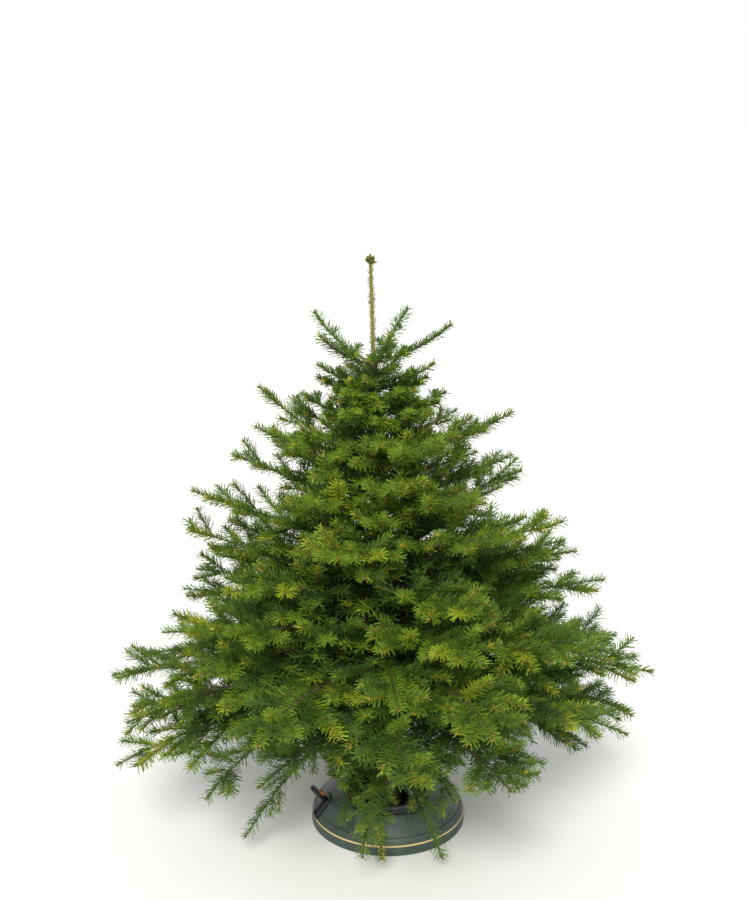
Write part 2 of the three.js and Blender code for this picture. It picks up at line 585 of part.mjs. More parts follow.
const branches = WHORLS.flatMap(branchesOf);
const boughs = [];
for (const branch of branches.filter((b) => b.bough)) {
  const name = branch.label.replace('skirt_mass', 'bough');
  boughs.push(place(name, largestBody(buildBough(branch).subtract(trunkRoom)), 0x6b573c, 0.9));
}

const masses = [];
for (const branch of branches) {
  const limbs = branch.bough ? trunkRoom.add(buildBough(branch, CLEAR)) : trunkRoom;
  const solid = buildMass(branch, limbs, [...stand, ...boughs, ...masses]);
  masses.push(place(branch.label, solid, 0x3d5a26, 0.8));
}

export default object;
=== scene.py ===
"""A young fir in a round foot-operated stand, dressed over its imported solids.

Metres, +Z up, -Y to the front. The crown grows by the source's own rule, carried on to fine twigs and
needles.
"""

import logging
import math
from collections.abc import Callable, Iterable, Sequence
from dataclasses import dataclass, field
from enum import Enum, IntEnum
from functools import cache, cached_property

import bmesh
import bpy
import numpy as np
from mathutils import Matrix, Vector, noise


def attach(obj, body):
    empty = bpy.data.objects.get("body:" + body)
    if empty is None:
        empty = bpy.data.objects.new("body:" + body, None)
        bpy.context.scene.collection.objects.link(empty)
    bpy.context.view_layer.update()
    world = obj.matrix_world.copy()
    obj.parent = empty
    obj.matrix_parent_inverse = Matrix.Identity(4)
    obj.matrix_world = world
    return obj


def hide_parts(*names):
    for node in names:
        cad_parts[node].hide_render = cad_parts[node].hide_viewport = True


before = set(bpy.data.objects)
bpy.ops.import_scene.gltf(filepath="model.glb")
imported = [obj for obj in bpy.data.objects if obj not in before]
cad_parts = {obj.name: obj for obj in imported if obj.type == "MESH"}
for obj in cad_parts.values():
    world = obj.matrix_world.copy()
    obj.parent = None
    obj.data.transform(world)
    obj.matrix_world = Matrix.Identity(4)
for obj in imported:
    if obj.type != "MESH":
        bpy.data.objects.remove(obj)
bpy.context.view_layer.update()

LOG = logging.getLogger("fir")
UP = Vector((0.0, 0.0, 1.0))
SEED = 20613  # the one seed that every branch draws from
INNER_ROWS = 20  # the number of the first inner ring
PIECE_LIMIT = 186_000  # triangles in one joined piece
LEVER_TURN = math.radians(197)  # the foot lever's azimuth
CROWN_FROM = 0.95  # rings above this height are the crown's top
BARE_FROM = 1.03  # rings above this height have no side twigs but the source's own
LOW_UNTIL = 0.245  # rings under this height hang over the stand
STEM_END = 0.985  # the share of a branch that its stem takes up at most
SLICE = 0.260  # how far out the room between two branches of a ring still widens
Colour = tuple[float, float, float, float]
Value = "bpy.types.NodeSocket | bpy.types.Node | float | int | tuple | str | None"


class Body(Enum):
    """The two bodies that a piece can ride on."""

    STAND = "tree_and_stand"
    LEVER = "foot_lever"


class Tint(IntEnum):
    """How light a spray's needles are painted, from the dark inside to a fresh tip: partly the real colours
    of old and new needles, partly painted shade deep in the crown and painted light on its outer sprays.
    """

    SHADE = 0
    DEEP = 1
    MID = 2
    FRESH = 3
    BRIGHT = 4
    GILDED = 5


class Wood(IntEnum):
    """The age of a twig's skin."""

    YOUNG = 0
    SECOND = 1
    OLD = 2


def srgb(red: int, green: int, blue: int) -> Colour:
    """A display colour from 0 to 255 as the linear opaque colour that a shader takes."""
    parts = [value / 255 for value in (red, green, blue)]
    return (*(p / 12.92 if p <= 0.04045 else ((p + 0.055) / 1.055) ** 2.4 for p in parts), 1.0)


def measured(line: Sequence[Vector]) -> float:
    """The length of a line of points."""
    return sum((b - a).length for a, b in zip(line, line[1:]))


def off_course(x: float, y: float, azimuth: float) -> float:
    """The angle between a point's azimuth and another one, from 0 to half a turn."""
    turn = math.atan2(y, x) - azimuth
    return abs(math.atan2(math.sin(turn), math.cos(turn)))


# ---------------------------------------------------------------- node wiring
class Wiring:
    """Adds and joins nodes in one tree with short calls."""

    def __init__(self, tree: bpy.types.NodeTree) -> None:
        """Starts on an empty tree."""
        self.tree = tree
        self.tree.nodes.clear()

    def feed(self, socket: bpy.types.NodeSocket, value: Value) -> None:
        """Links a socket to another node, or sets its value.

        Args:
            socket: the input to feed.
            value: a socket, a node whose first live output is used, or a plain value.
        """
        if isinstance(value, bpy.types.Node):
            value = next(out for out in value.outputs if out.enabled)
        if isinstance(value, bpy.types.NodeSocket):
            self.tree.links.new(value, socket)
        elif value is not None:
            socket.default_value = value

    def add(self, kind: str, inputs: dict | None = None, **settings: object) -> bpy.types.Node:
        """Adds one node.

        Args:
            kind: the node's type name.
            inputs: values or links by the input's name or number.
            settings: the node's own properties.

        Returns:
            The new node.
        """
        node = self.tree.nodes.new(kind)
        for name, value in settings.items():
            setattr(node, name, value)
        for key, value in (inputs or {}).items():
            self.feed(node.inputs[key], value)
        return node

    def math(self, operation: str, *values: Value) -> bpy.types.Node:
        """A Math node on one to three values."""
        return self.add("ShaderNodeMath", dict(enumerate(values)), operation=operation)

    def vector(self, operation: str, *values: Value) -> bpy.types.Node:
        """A Vector Math node on one or two vectors."""
        return self.add("ShaderNodeVectorMath", dict(enumerate(values)), operation=operation)

    def scaled(self, vector: Value, factor: Value) -> bpy.types.Node:
        """A vector times a number."""
        return self.add("ShaderNodeVectorMath", {0: vector, "Scale": factor}, operation="SCALE")

    def spread(self, value: Value, low: float, high: float) -> bpy.types.Node:
        """A value from 0 to 1 laid out between two numbers."""
        return self.math("MULTIPLY_ADD", value, high - low, low)

    def product(self, first: Value, *others: Value) -> Value:
        """Several values multiplied together, from left to right."""
        for other in others:
            first = self.math("MULTIPLY", first, other)
        return first

    def band(self, value: Value, low: float, high: float, start: float = 0.0,
             end: float = 1.0) -> bpy.types.Node:
        """A value taken from one range to another and held at its ends."""
        return self.add("ShaderNodeMapRange", {0: value, 1: low, 2: high, 3: start, 4: end})

    def place(self) -> bpy.types.NodeSocket:
        """Where a point lies on its piece."""
        return self.add("ShaderNodeTexCoord").outputs["Object"]

    def noise(self, place: Value, scale: Value, detail: float, rough: float = 0.5) -> bpy.types.NodeSocket:
        """Cloudy noise."""
        inputs = {"Vector": place, "Scale": scale, "Detail": detail, "Roughness": rough}
        return self.add("ShaderNodeTexNoise", inputs).outputs["Fac"]

    def bump(self, height: Value, strength: Value, distance: float) -> bpy.types.Node:
        """A normal that follows a height."""
        return self.add("ShaderNodeBump", {"Height": height, "Strength": strength, "Distance": distance})

    def blend(self, share: Value, one: Value, two: Value) -> bpy.types.NodeSocket:
        """A colour between two others."""
        return self.add("ShaderNodeMix", {0: share, 6: one, 7: two}, data_type="RGBA").outputs[2]


class GeometryNet(Wiring):
    """A Geometry Nodes tree with named inputs."""

    def __init__(self, name: str, inputs: dict[str, object]) -> None:
        """Makes the tree with a geometry input and output and the named inputs.

        Args:
            name: the tree's name.
            inputs: default values by name: a float, an int, or None for an object.
        """
        super().__init__(bpy.data.node_groups.new(name, "GeometryNodeTree"))
        kinds = {float: "NodeSocketFloat", int: "NodeSocketInt", type(None): "NodeSocketObject"}
        face = self.tree.interface
        face.new_socket("Geometry", in_out="INPUT", socket_type="NodeSocketGeometry")
        face.new_socket("Geometry", in_out="OUTPUT", socket_type="NodeSocketGeometry")
        self.keys: dict[str, str] = {}
        for label, value in inputs.items():
            socket = face.new_socket(label, in_out="INPUT", socket_type=kinds[type(value)])
            if value is not None:
                socket.default_value = value
            self.keys[label] = socket.identifier
        self.inlet = self.add("NodeGroupInput")

    def given(self, label: str) -> bpy.types.NodeSocket:
        """The value of a named input."""
        return self.inlet.outputs[label]

    def named(self, label: str, kind: str = "FLOAT") -> bpy.types.Node:
        """An attribute that the thread carries."""
        return self.add("GeometryNodeInputNamedAttribute", {"Name": label}, data_type=kind)

    def random(self, low: float, high: float, salt: int) -> bpy.types.Node:
        """A number between two limits for each point, from the tree's seed and a salt."""
        seed = self.math("ADD", self.given("Seed"), float(salt))
        return self.add("FunctionNodeRandomValue", {2: low, 3: high, "Seed": seed}, data_type="FLOAT")

    def close(self, geometry: Value, choices: Iterable[tuple[Value, bpy.types.Material]]) -> None:
        """Realizes the instances, gives each choice its material and ends the tree.

        Args:
            geometry: the instances or mesh.
            choices: a selection, or None for everything, with its material.
        """
        last = self.add("GeometryNodeRealizeInstances", {"Geometry": geometry})
        for selection, material in choices:
            last = self.add("GeometryNodeSetMaterial", {"Geometry": last, "Selection": selection})
            last.inputs["Material"].default_value = material
        self.add("NodeGroupOutput", {"Geometry": last})

    def apply(self, piece: bpy.types.Object, values: dict[str, object]) -> bpy.types.Object:
        """Runs the tree on a piece and keeps the result as its plain mesh.

        Args:
            piece: the object that carries the threads or points.
            values: values of the tree's inputs by name.

        Returns:
            The same object with its new mesh and no modifier.
        """
        modifier = piece.modifiers.new(self.tree.name, "NODES")
        modifier.node_group = self.tree
        for label, value in values.items():
            modifier[self.keys[label]] = value
        return Shaper.settle(piece)


# ---------------------------------------------------------------- mesh tools
class Shaper:
    """Makes plain meshes from outlines and profiles, with their place in the mesh."""

    @staticmethod
    def piece(name: str, mesh: bpy.types.Mesh) -> bpy.types.Object:
        """Puts a mesh in the scene as an object at the origin."""
        made = bpy.data.objects.new(name, mesh)
        bpy.context.scene.collection.objects.link(made)
        return made

    @staticmethod
    def from_faces(name: str, points: Sequence, faces: Sequence, edges: Sequence = ()) -> bpy.types.Object:
        """An object from points, edges and faces."""
        mesh = bpy.data.meshes.new(name)
        mesh.from_pydata([tuple(p) for p in points], list(edges), list(faces))
        return Shaper.piece(name, mesh)

    @staticmethod
    def settle(piece: bpy.types.Object) -> bpy.types.Object:
        """Turns a piece's modifiers into its own plain mesh and clears its spare attributes."""
        mesh = bpy.data.meshes.new_from_object(piece.evaluated_get(bpy.context.evaluated_depsgraph_get()))
        piece.modifiers.clear()
        old, piece.data = piece.data, mesh
        bpy.data.meshes.remove(old)
        kept = {"position", "material_index", "sharp_face", "sharp_edge"}
        spare = [a.name for a in mesh.attributes if a.name not in kept and not a.name.startswith(".")]
        for label in spare:
            mesh.attributes.remove(mesh.attributes[label])
        mesh.name = piece.name
        return piece

    @staticmethod
    def join(name: str, parts: Sequence[bpy.types.Object]) -> bpy.types.Object:
        """Joins several bare objects into one mesh."""
        work, mesh = bmesh.new(), bpy.data.meshes.new(name)
        for part in parts:
            work.from_mesh(part.data)
            bpy.data.meshes.remove(part.data)
        work.to_mesh(mesh)
        work.free()
        return Shaper.piece(name, mesh)

    @staticmethod
    def between_rings(start: int, rings: int, sides: int) -> list[tuple[int, int, int, int]]:
        """The faces between rings of points that follow each other from a first point on."""
        corners = [(start + i * sides + k, start + i * sides + (k + 1) % sides)
                   for i in range(rings - 1) for k in range(sides)]
        return [(a, b, b + sides, a + sides) for a, b in corners]

    @staticmethod
    def turned(name: str, profile: Sequence[tuple[float, float]], segments: int = 144) -> bpy.types.Object:
        """A closed turned form about the Z axis.

        Args:
            name: the object's name.
            profile: a closed loop of (radius, height) points.
            segments: steps round the axis.

        Returns:
            The new object.
        """
        count = len(profile)
        turns = [2 * math.pi * k / segments for k in range(segments)]
        points = [(r * math.cos(turn), r * math.sin(turn), z) for turn in turns for r, z in profile]
        faces = []
        for k in range(segments):
            here, there = k * count, (k + 1) % segments * count
            for i in range(count):
                j = (i + 1) % count
                faces.append((here + i, there + i, there + j, here + j))
        return Shaper.outward(Shaper.from_faces(name, points, faces))

    @staticmethod
    def slab(name: str, outline: Sequence[tuple[float, float]], thick: float,
             place: Matrix) -> bpy.types.Object:
        """A flat plate cut to an outline.

        Args:
            name: the object's name.
            outline: (x, y) corners in order.
            thick: thickness, half to each side of the outline's plane.
            place: where the plate goes.

        Returns:
            The new object.
        """
        count = len(outline)
        points = [place @ Vector((x, y, side * thick / 2)) for side in (-1, 1) for x, y in outline]
        ends = [tuple(reversed(range(count))), tuple(range(count, 2 * count))]
        return Shaper.outward(Shaper.from_faces(name, points, ends + Shaper.between_rings(0, 2, count)))

    @staticmethod
    def outward(piece: bpy.types.Object) -> bpy.types.Object:
        """Merges doubled points and turns every face outward."""
        work = bmesh.new()
        work.from_mesh(piece.data)
        bmesh.ops.remove_doubles(work, verts=work.verts, dist=1e-6)
        bmesh.ops.recalc_face_normals(work, faces=work.faces)
        work.to_mesh(piece.data)
        work.free()
        return piece

    @staticmethod
    def cut(piece: bpy.types.Object, *tools: bpy.types.Object) -> bpy.types.Object:
        """Cuts tools out of a piece and removes them."""
        for tool in tools:
            step = piece.modifiers.new("cut", "BOOLEAN")
            step.operation, step.solver, step.object = "DIFFERENCE", "EXACT", tool
        Shaper.settle(piece)
        for tool in tools:
            bpy.data.objects.remove(tool)
        return piece

    @staticmethod
    def shade(piece: bpy.types.Object, limit: float) -> bpy.types.Object:
        """Shades a piece smooth where its faces meet at less than an angle in degrees."""
        piece.data.shade_smooth()
        piece.data.set_sharp_from_angle(angle=math.radians(limit))
        return piece

    @staticmethod
    def soften(piece: bpy.types.Object, width: float, steps: int, limit: float) -> bpy.types.Object:
        """Rounds a piece's sharp edges and shades the rest smooth.

        Args:
            piece: the object.
            width: width of the rounding.
            steps: faces across the rounding.
            limit: the least angle between two faces, in degrees, that is rounded.

        Returns:
            The same object with its plain mesh.
        """
        bevel = piece.modifiers.new("soften", "BEVEL")
        bevel.limit_method, bevel.angle_limit = "ANGLE", math.radians(limit)
        bevel.width, bevel.segments, bevel.use_clamp_overlap = width, steps, True
        return Shaper.shade(Shaper.settle(piece), limit + 8)


# ---------------------------------------------------------------- shared shader effects
class SharedEffects:
    """Shader groups that several finishes use, each built once. They give only masks, values and normals."""

    @staticmethod
    def start(name: str, inputs: dict[str, float], masks: Sequence[str]) -> tuple[Wiring, dict, dict]:
        """Starts a group with its sockets.

        Args:
            name: the group's name.
            inputs: number inputs with their defaults.
            masks: names of the outputs that are numbers, beside a Normal.

        Returns:
            The wiring, the inputs by name and the output node's inputs by name.
        """
        tree = bpy.data.node_groups.new(name, "ShaderNodeTree")
        face = tree.interface
        for label, value in inputs.items():
            face.new_socket(label, in_out="INPUT", socket_type="NodeSocketFloat").default_value = value
        for label in masks:
            face.new_socket(label, in_out="OUTPUT", socket_type="NodeSocketFloat")
        face.new_socket("Normal", in_out="OUTPUT", socket_type="NodeSocketVector")
        net = Wiring(tree)
        source, sink = net.add("NodeGroupInput"), net.add("NodeGroupOutput")
        return net, {s.name: s for s in source.outputs if s.name}, {s.name: s for s in sink.inputs if s.name}

    @classmethod
    @cache
    def moulded_skin(cls) -> bpy.types.NodeTree:
        """Fine moulding grain, rubbed patches and settled dust on a plastic shell."""
        net, given, out = cls.start("moulded_skin", {"Grain": 900.0, "Depth": 0.25}, ("Rubbed", "Dust"))
        place = net.place()
        relief = net.math("MULTIPLY_ADD", net.noise(place, 14.0, 2.0), 1.6,
                          net.noise(place, given["Grain"], 3.0))
        facing = net.add("ShaderNodeSeparateXYZ", {0: net.add("ShaderNodeNewGeometry").outputs["Normal"]})
        lying = net.band(facing.outputs["Z"], 0.25, 0.95)
        net.feed(out["Rubbed"], net.band(net.noise(place, 22.0, 6.0, 0.68), 0.48, 0.7))
        net.feed(out["Dust"], net.product(lying, net.band(net.noise(place, 160.0, 4.0), 0.38, 0.7)))
        net.feed(out["Normal"], net.bump(relief, given["Depth"], 0.0006))
        return net.tree

    @classmethod
    @cache
    def bark_skin(cls) -> bpy.types.NodeTree:
        """Grey plates, level breathing pores and resin blisters of young fir bark."""
        net, given, out = cls.start("bark_skin", {"Grain": 60.0}, ("Plates", "Pores"))
        place = net.place()
        level = net.vector("MULTIPLY", place, (1.0, 1.0, 3.4))
        plates = net.noise(place, given["Grain"], 7.0)
        pores = net.add("ShaderNodeTexVoronoi", {"Vector": level, "Scale": 110.0, "Randomness": 1.0})
        dots = net.band(pores.outputs["Distance"], 0.16, 0.34, 1.0, 0.0)
        net.feed(out["Plates"], net.band(plates, 0.36, 0.66))
        net.feed(out["Pores"], dots)
        net.feed(out["Normal"], net.bump(net.math("MULTIPLY_ADD", dots, 0.5, plates), 0.7, 0.0012))
        return net.tree


# ---------------------------------------------------------------- finishes
@dataclass(frozen=True)
class Finish:
    """A named material of one principled shader: a plain colour, unless the kind of finish adds to it."""

    name: str
    colour: Colour
    rough: float

    def look(self, net: Wiring) -> dict[str, Value]:
        """What the shader's inputs take, by name."""
        return {"Base Color": self.colour, "Roughness": self.rough}

    def build(self) -> bpy.types.Material:
        """The material."""
        material = bpy.data.materials.new(self.name)
        material.use_nodes = True
        net = Wiring(material.node_tree)
        shader = net.add("ShaderNodeBsdfPrincipled", self.look(net))
        net.add("ShaderNodeOutputMaterial", {"Surface": shader})
        return material


@dataclass(frozen=True)
class NeedleFinish(Finish):
    """A waxy needle: one plain colour, with a gloss that differs from place to place."""

    def look(self, net: Wiring) -> dict[str, Value]:
        """What the shader's inputs take, by name."""
        uneven = net.band(net.noise(net.place(), 210.0, 1.0), 0.3, 0.7, self.rough - 0.1, self.rough + 0.16)
        return {"Base Color": self.colour, "Roughness": uneven, "Specular IOR Level": 0.14}


@dataclass(frozen=True)
class TwigFinish(Finish):
    """The skin of thin twigs and buds: one plain colour with fine scars."""

    def look(self, net: Wiring) -> dict[str, Value]:
        """What the shader's inputs take, by name."""
        scars = net.noise(net.place(), 620.0, 3.0)
        uneven = net.band(scars, 0.3, 0.7, self.rough - 0.12, self.rough + 0.15)
        return {"Base Color": self.colour, "Roughness": uneven, "Normal": net.bump(scars, 0.6, 0.0006)}


@dataclass(frozen=True)
class BarkFinish(Finish):
    """Bark of the trunk and boughs: grey-brown plates with pale pores over a darker, rougher ground."""

    plate: Colour
    pore: Colour

    def look(self, net: Wiring) -> dict[str, Value]:
        """What the shader's inputs take, by name."""
        skin = net.add("ShaderNodeGroup", node_tree=SharedEffects.bark_skin()).outputs
        plated = net.blend(skin["Plates"], self.colour, self.plate)
        return {"Base Color": net.blend(net.product(skin["Pores"], 0.45), plated, self.pore),
                "Roughness": net.spread(skin["Plates"], self.rough, self.rough - 0.2),
                "Normal": skin["Normal"]}


@dataclass(frozen=True)
class MouldedPlastic(Finish):
    """Moulded plastic with a fine grain, rubbed patches and a little dust where it lies level."""

    worn: float
    rubbed: Colour
    dust: Colour
    grain: float
    depth: float
    dusting: float

    def look(self, net: Wiring) -> dict[str, Value]:
        """What the shader's inputs take, by name."""
        skin = net.add("ShaderNodeGroup", {"Grain": self.grain, "Depth": self.depth},
                       node_tree=SharedEffects.moulded_skin()).outputs
        rubbed = net.blend(net.product(skin["Rubbed"], 0.5), self.colour, self.rubbed)
        return {"Base Color": net.blend(net.product(skin["Dust"], self.dusting), rubbed, self.dust),
                "Roughness": net.spread(skin["Rubbed"], self.rough, self.worn), "Normal": skin["Normal"]}


@dataclass(frozen=True)
class PressedMetal(Finish):
    """Zinc-plated sheet metal with drawn scratches and a few dull spots."""

    worn: float
    dull: Colour

    def look(self, net: Wiring) -> dict[str, Value]:
        """What the shader's inputs take, by name."""
        place = net.place()
        lines = net.noise(net.vector("MULTIPLY", place, (1.0, 1.0, 14.0)), 260.0, 3.0)
        spots = net.band(net.noise(place, 75.0, 5.0), 0.42, 0.66)
        return {"Base Color": net.blend(spots, self.colour, self.dull), "Metallic": 0.85,
                "Roughness": net.spread(spots, self.rough, self.worn), "Normal": net.bump(lines, 0.3, 0.0004)}


# ---------------------------------------------------------------- the rule the tree grows by
class Dice:
    """Numbers between 0 and 1 that are always the same for one seed."""

    MASK = 0xFFFFFFFF

    def __init__(self, seed: int) -> None:
        """Starts the sequence."""
        self.state = seed & self.MASK

    def roll(self) -> float:
        """The next number."""
        self.state = (self.state + 0x6D2B79F5) & self.MASK
        t = self.state
        t = ((t ^ (t >> 15)) * (t | 1)) & self.MASK
        t ^= (t + ((t ^ (t >> 7)) * (t | 61))) & self.MASK
        return ((t ^ (t >> 14)) & self.MASK) / 4294967296

    def between(self, low: float, high: float) -> float:
        """A number between two limits."""
        return low + (high - low) * self.roll()


@dataclass(frozen=True)
class Whorl:
    """One ring of branches.

    z is where it leaves the trunk, reach how far its tips stand out, tip how high they end, arch how far
    the middle stands over the straight line, phase and step the azimuths, front the lift of the front tips,
    wide the fan's half width over its length, pairs and tops the side twigs, stem the root's radius, bough
    the bare share, and lift how much its finer shoots turn up.
    """

    name: str
    z: float
    count: int
    reach: float
    tip: float
    arch: float
    phase: float
    step: float
    front: float
    wide: float
    pairs: int
    tops: int
    stem: float
    bough: float
    lift: float


WHORLS = (
    Whorl("crown_shoot", 1.098, 5, 0.170, 1.188, -0.014, 0, 72, 0.0, 0.36, 2, 0, 0.0045, 0.0, 0.25),
    Whorl("neck_shoot", 1.036, 2, 0.126, 1.092, -0.006, 6, 180, 0.0, 0.30, 1, 0, 0.0035, 0.0, 0.2),
    Whorl("upper_mass", 0.872, 5, 0.312, 1.006, -0.018, 2, 72, 0.0, 0.42, 2, 1, 0.007, 0.0, 0.22),
    Whorl("upper_fill", 0.792, 3, 0.292, 0.900, -0.004, 30, 120, 0.0, 0.40, 2, 0, 0.006, 0.0, 0.15),
    Whorl("middle_mass", 0.672, 5, 0.428, 0.806, -0.008, 36, 72, 0.0, 0.44, 3, 1, 0.008, 0.0, 0.15),
    Whorl("middle_fill", 0.586, 2, 0.430, 0.690, 0.004, 178, 180, 0.0, 0.40, 3, 0, 0.007, 0.0, 0.08),
    Whorl("lower_mass", 0.486, 5, 0.528, 0.588, 0.012, 2, 72, 0.010, 0.46, 3, 1, 0.009, 0.0, 0.06),
    Whorl("skirt_mass", 0.372, 6, 0.600, 0.402, 0.034, 0, 60, 0.060, 0.46, 3, 0, 0.010, 0.26, -0.02),
    Whorl("hem_mass", 0.286, 5, 0.606, 0.222, 0.052, -56, 63, 0.060, 0.46, 3, 1, 0.009, 0.0, -0.12),
    Whorl("low_spray", 0.236, 3, 0.330, 0.084, 0.040, 228, 38, 0.0, 0.40, 2, 0, 0.005, 0.0, -0.3),
)


INNER = (
    Whorl("inner_1", 1.070, 4, 0.078, 1.104, -0.004, 40, 90, 0.0, 0.34, 1, 0, 0.0028, 0.0, 0.2),
    Whorl("inner_2", 1.010, 5, 0.128, 1.058, -0.006, 20, 72, 0.0, 0.42, 2, 1, 0.0034, 0.0, 0.2),
    Whorl("inner_3", 0.955, 5, 0.168, 1.022, -0.006, 30, 72, 0.0, 0.42, 2, 1, 0.0040, 0.0, 0.2),
    Whorl("inner_4", 0.912, 6, 0.205, 0.968, -0.008, 30, 60, 0.0, 0.42, 2, 1, 0.0044, 0.0, 0.2),
    Whorl("inner_5", 0.832, 6, 0.225, 0.900, -0.006, 54, 60, 0.0, 0.42, 2, 1, 0.0046, 0.0, 0.2),
    Whorl("inner_6", 0.742, 6, 0.265, 0.822, -0.006, 32, 60, 0.0, 0.42, 2, 1, 0.0048, 0.0, 0.2),
    Whorl("inner_7", 0.636, 5, 0.300, 0.712, 0.0, 50, 72, 0.0, 0.42, 2, 1, 0.0050, 0.0, 0.15),
    Whorl("inner_8", 0.545, 5, 0.330, 0.604, 0.004, 20, 72, 0.0, 0.42, 2, 1, 0.0052, 0.0, 0.1),
    Whorl("inner_9", 0.435, 5, 0.370, 0.480, 0.010, 16, 72, 0.0, 0.42, 2, 1, 0.0052, 0.0, 0.05),
    Whorl("inner_10", 0.330, 5, 0.380, 0.300, 0.024, 54, 72, 0.020, 0.42, 2, 1, 0.0050, 0.0, -0.06),
    Whorl("inner_11", 0.262, 6, 0.300, 0.215, 0.036, 250, 50, 0.020, 0.44, 2, 1, 0.0046, 0.0, -0.1),
    Whorl("between_1", 0.770, 5, 0.330, 0.872, -0.010, 20, 72, 0.0, 0.42, 2, 1, 0.0056, 0.0, 0.18),
    Whorl("between_2", 0.575, 5, 0.440, 0.668, 0.000, 74, 72, 0.0, 0.42, 3, 1, 0.0062, 0.0, 0.1),
    Whorl("between_3", 0.440, 6, 0.530, 0.505, 0.016, 32, 60, 0.0, 0.44, 3, 1, 0.0070, 0.0, 0.04),
    Whorl("between_4", 0.350, 6, 0.570, 0.335, 0.040, 30, 60, 0.060, 0.44, 3, 1, 0.0072, 0.0, -0.04),
    Whorl("between_5", 0.275, 6, 0.500, 0.215, 0.048, 4, 60, 0.110, 0.44, 3, 1, 0.0064, 0.0, -0.1),
    Whorl("side_1", 0.400, 2, 0.560, 0.385, 0.030, 14, 152, 0.0, 0.46, 3, 1, 0.0066, 0.0, -0.02),
    Whorl("side_2", 0.315, 2, 0.575, 0.260, 0.046, -12, 200, 0.0, 0.46, 3, 1, 0.0066, 0.0, -0.1),
    Whorl("side_3", 0.520, 2, 0.490, 0.560, 0.012, 22, 142, 0.0, 0.44, 3, 1, 0.0062, 0.0, 0.04),
    Whorl("close_1", 1.040, 5, 0.080, 1.082, 0.000, 54, 72, 0.0, 0.34, 1, 0, 0.0026, 0.0, 0.2),
    Whorl("close_2", 0.980, 5, 0.110, 1.030, 0.000, 54, 72, 0.0, 0.40, 1, 1, 0.0028, 0.0, 0.2),
    Whorl("close_3", 0.890, 5, 0.140, 0.950, 0.000, 54, 72, 0.0, 0.40, 1, 1, 0.0030, 0.0, 0.2),
    Whorl("close_4", 0.800, 5, 0.160, 0.862, 0.000, 54, 72, 0.0, 0.42, 2, 1, 0.0032, 0.0, 0.2),
    Whorl("close_5", 0.700, 5, 0.180, 0.760, 0.000, 54, 72, 0.0, 0.42, 2, 1, 0.0034, 0.0, 0.2),
    Whorl("close_6", 0.610, 5, 0.200, 0.670, 0.000, 54, 72, 0.0, 0.42, 2, 1, 0.0036, 0.0, 0.2),
    Whorl("droop_1", 0.240, 1, 0.365, 0.046, 0.086, 219, 0, 0.0, 0.42, 2, 0, 0.0046, 0.0, -0.3),
    Whorl("droop_2", 0.226, 3, 0.268, 0.040, 0.052, 249, 19, 0.0, 0.34, 1, 0, 0.0038, 0.0, -0.3),
    Whorl("droop_3", 0.285, 2, 0.480, 0.190, 0.060, 186, 27, 0.0, 0.44, 3, 1, 0.0060, 0.0, -0.16),
    Whorl("droop_4", 0.285, 2, 0.460, 0.185, 0.060, -15, 25, 0.0, 0.44, 3, 1, 0.0060, 0.0, -0.2),
    Whorl("droop_5", 0.270, 4, 0.430, 0.150, 0.055, 45, 32, 0.0, 0.44, 3, 0, 0.0056, 0.0, -0.2),
)


@dataclass
class Shoot:
    """One length of twig: its middle line, its thickness and how its needles stand.

    seated is the radius that the needles sit at, from root to tip, where the wood belongs to another piece,
    and open widens or narrows the angle that they stand out at.
    """

    line: list[Vector]
    girth: tuple[float, float]
    crest: Vector
    tint: Tint
    wood: Wood = Wood.YOUNG
    vigour: float = 1.0
    bare: float = 0.004
    full: float = 0.0
    buds: int = 1
    gap: float = 0.0012
    broad: float = 1.0
    seated: tuple[float, float] = (0.0, 0.0)
    open: float = 1.0

    def length(self) -> float:
        """The length along the middle line."""
        return measured(self.line)


@dataclass
class Trunk:
    """The trunk: a swelling at the foot, an even taper, a thin leader and its bud.

    girth and tip are the radii that the taper runs between, swell and swell_height shape the foot, and
    above slim_from the wood gives way to the leader's needles.
    """

    foot: float = 0.0083
    height: float = 1.337
    lean: float = -0.031
    leader: float = 1.098
    leader_radius: float = 0.0042
    girth: float = 0.033
    tip: float = 0.0032
    swell: float = 0.0035
    swell_height: float = 0.045
    slim_from: float = 0.86
    sides: int = 48
    step: float = 0.0034

    def axis(self, height: float) -> Vector:
        """The middle of the trunk at a height."""
        return Vector((self.lean * height, 0.0, height))

    def radius(self, height: float) -> float:
        """The trunk's radius at a height: the source's, with the leader's room given to its needles."""
        share = max(0.0, (height - self.foot) / (self.height - self.foot))
        taper = self.girth * max(0.0, 1 - share) ** 1.15 + self.tip
        held = taper + self.swell * math.exp(-height / self.swell_height)
        slim = min(1.0, max(0.0, (height - self.slim_from) / (self.leader - self.slim_from)))
        return held + (self.leader_radius * (1.25 - 0.45 * share) - held) * slim * slim * (3 - 2 * slim)


@dataclass(frozen=True)
class SideTwig:
    """A twig off a branch: how far along it stands, its root, direction, length and hand."""

    t: float
    root: Vector
    direction: Vector
    length: float
    hand: int


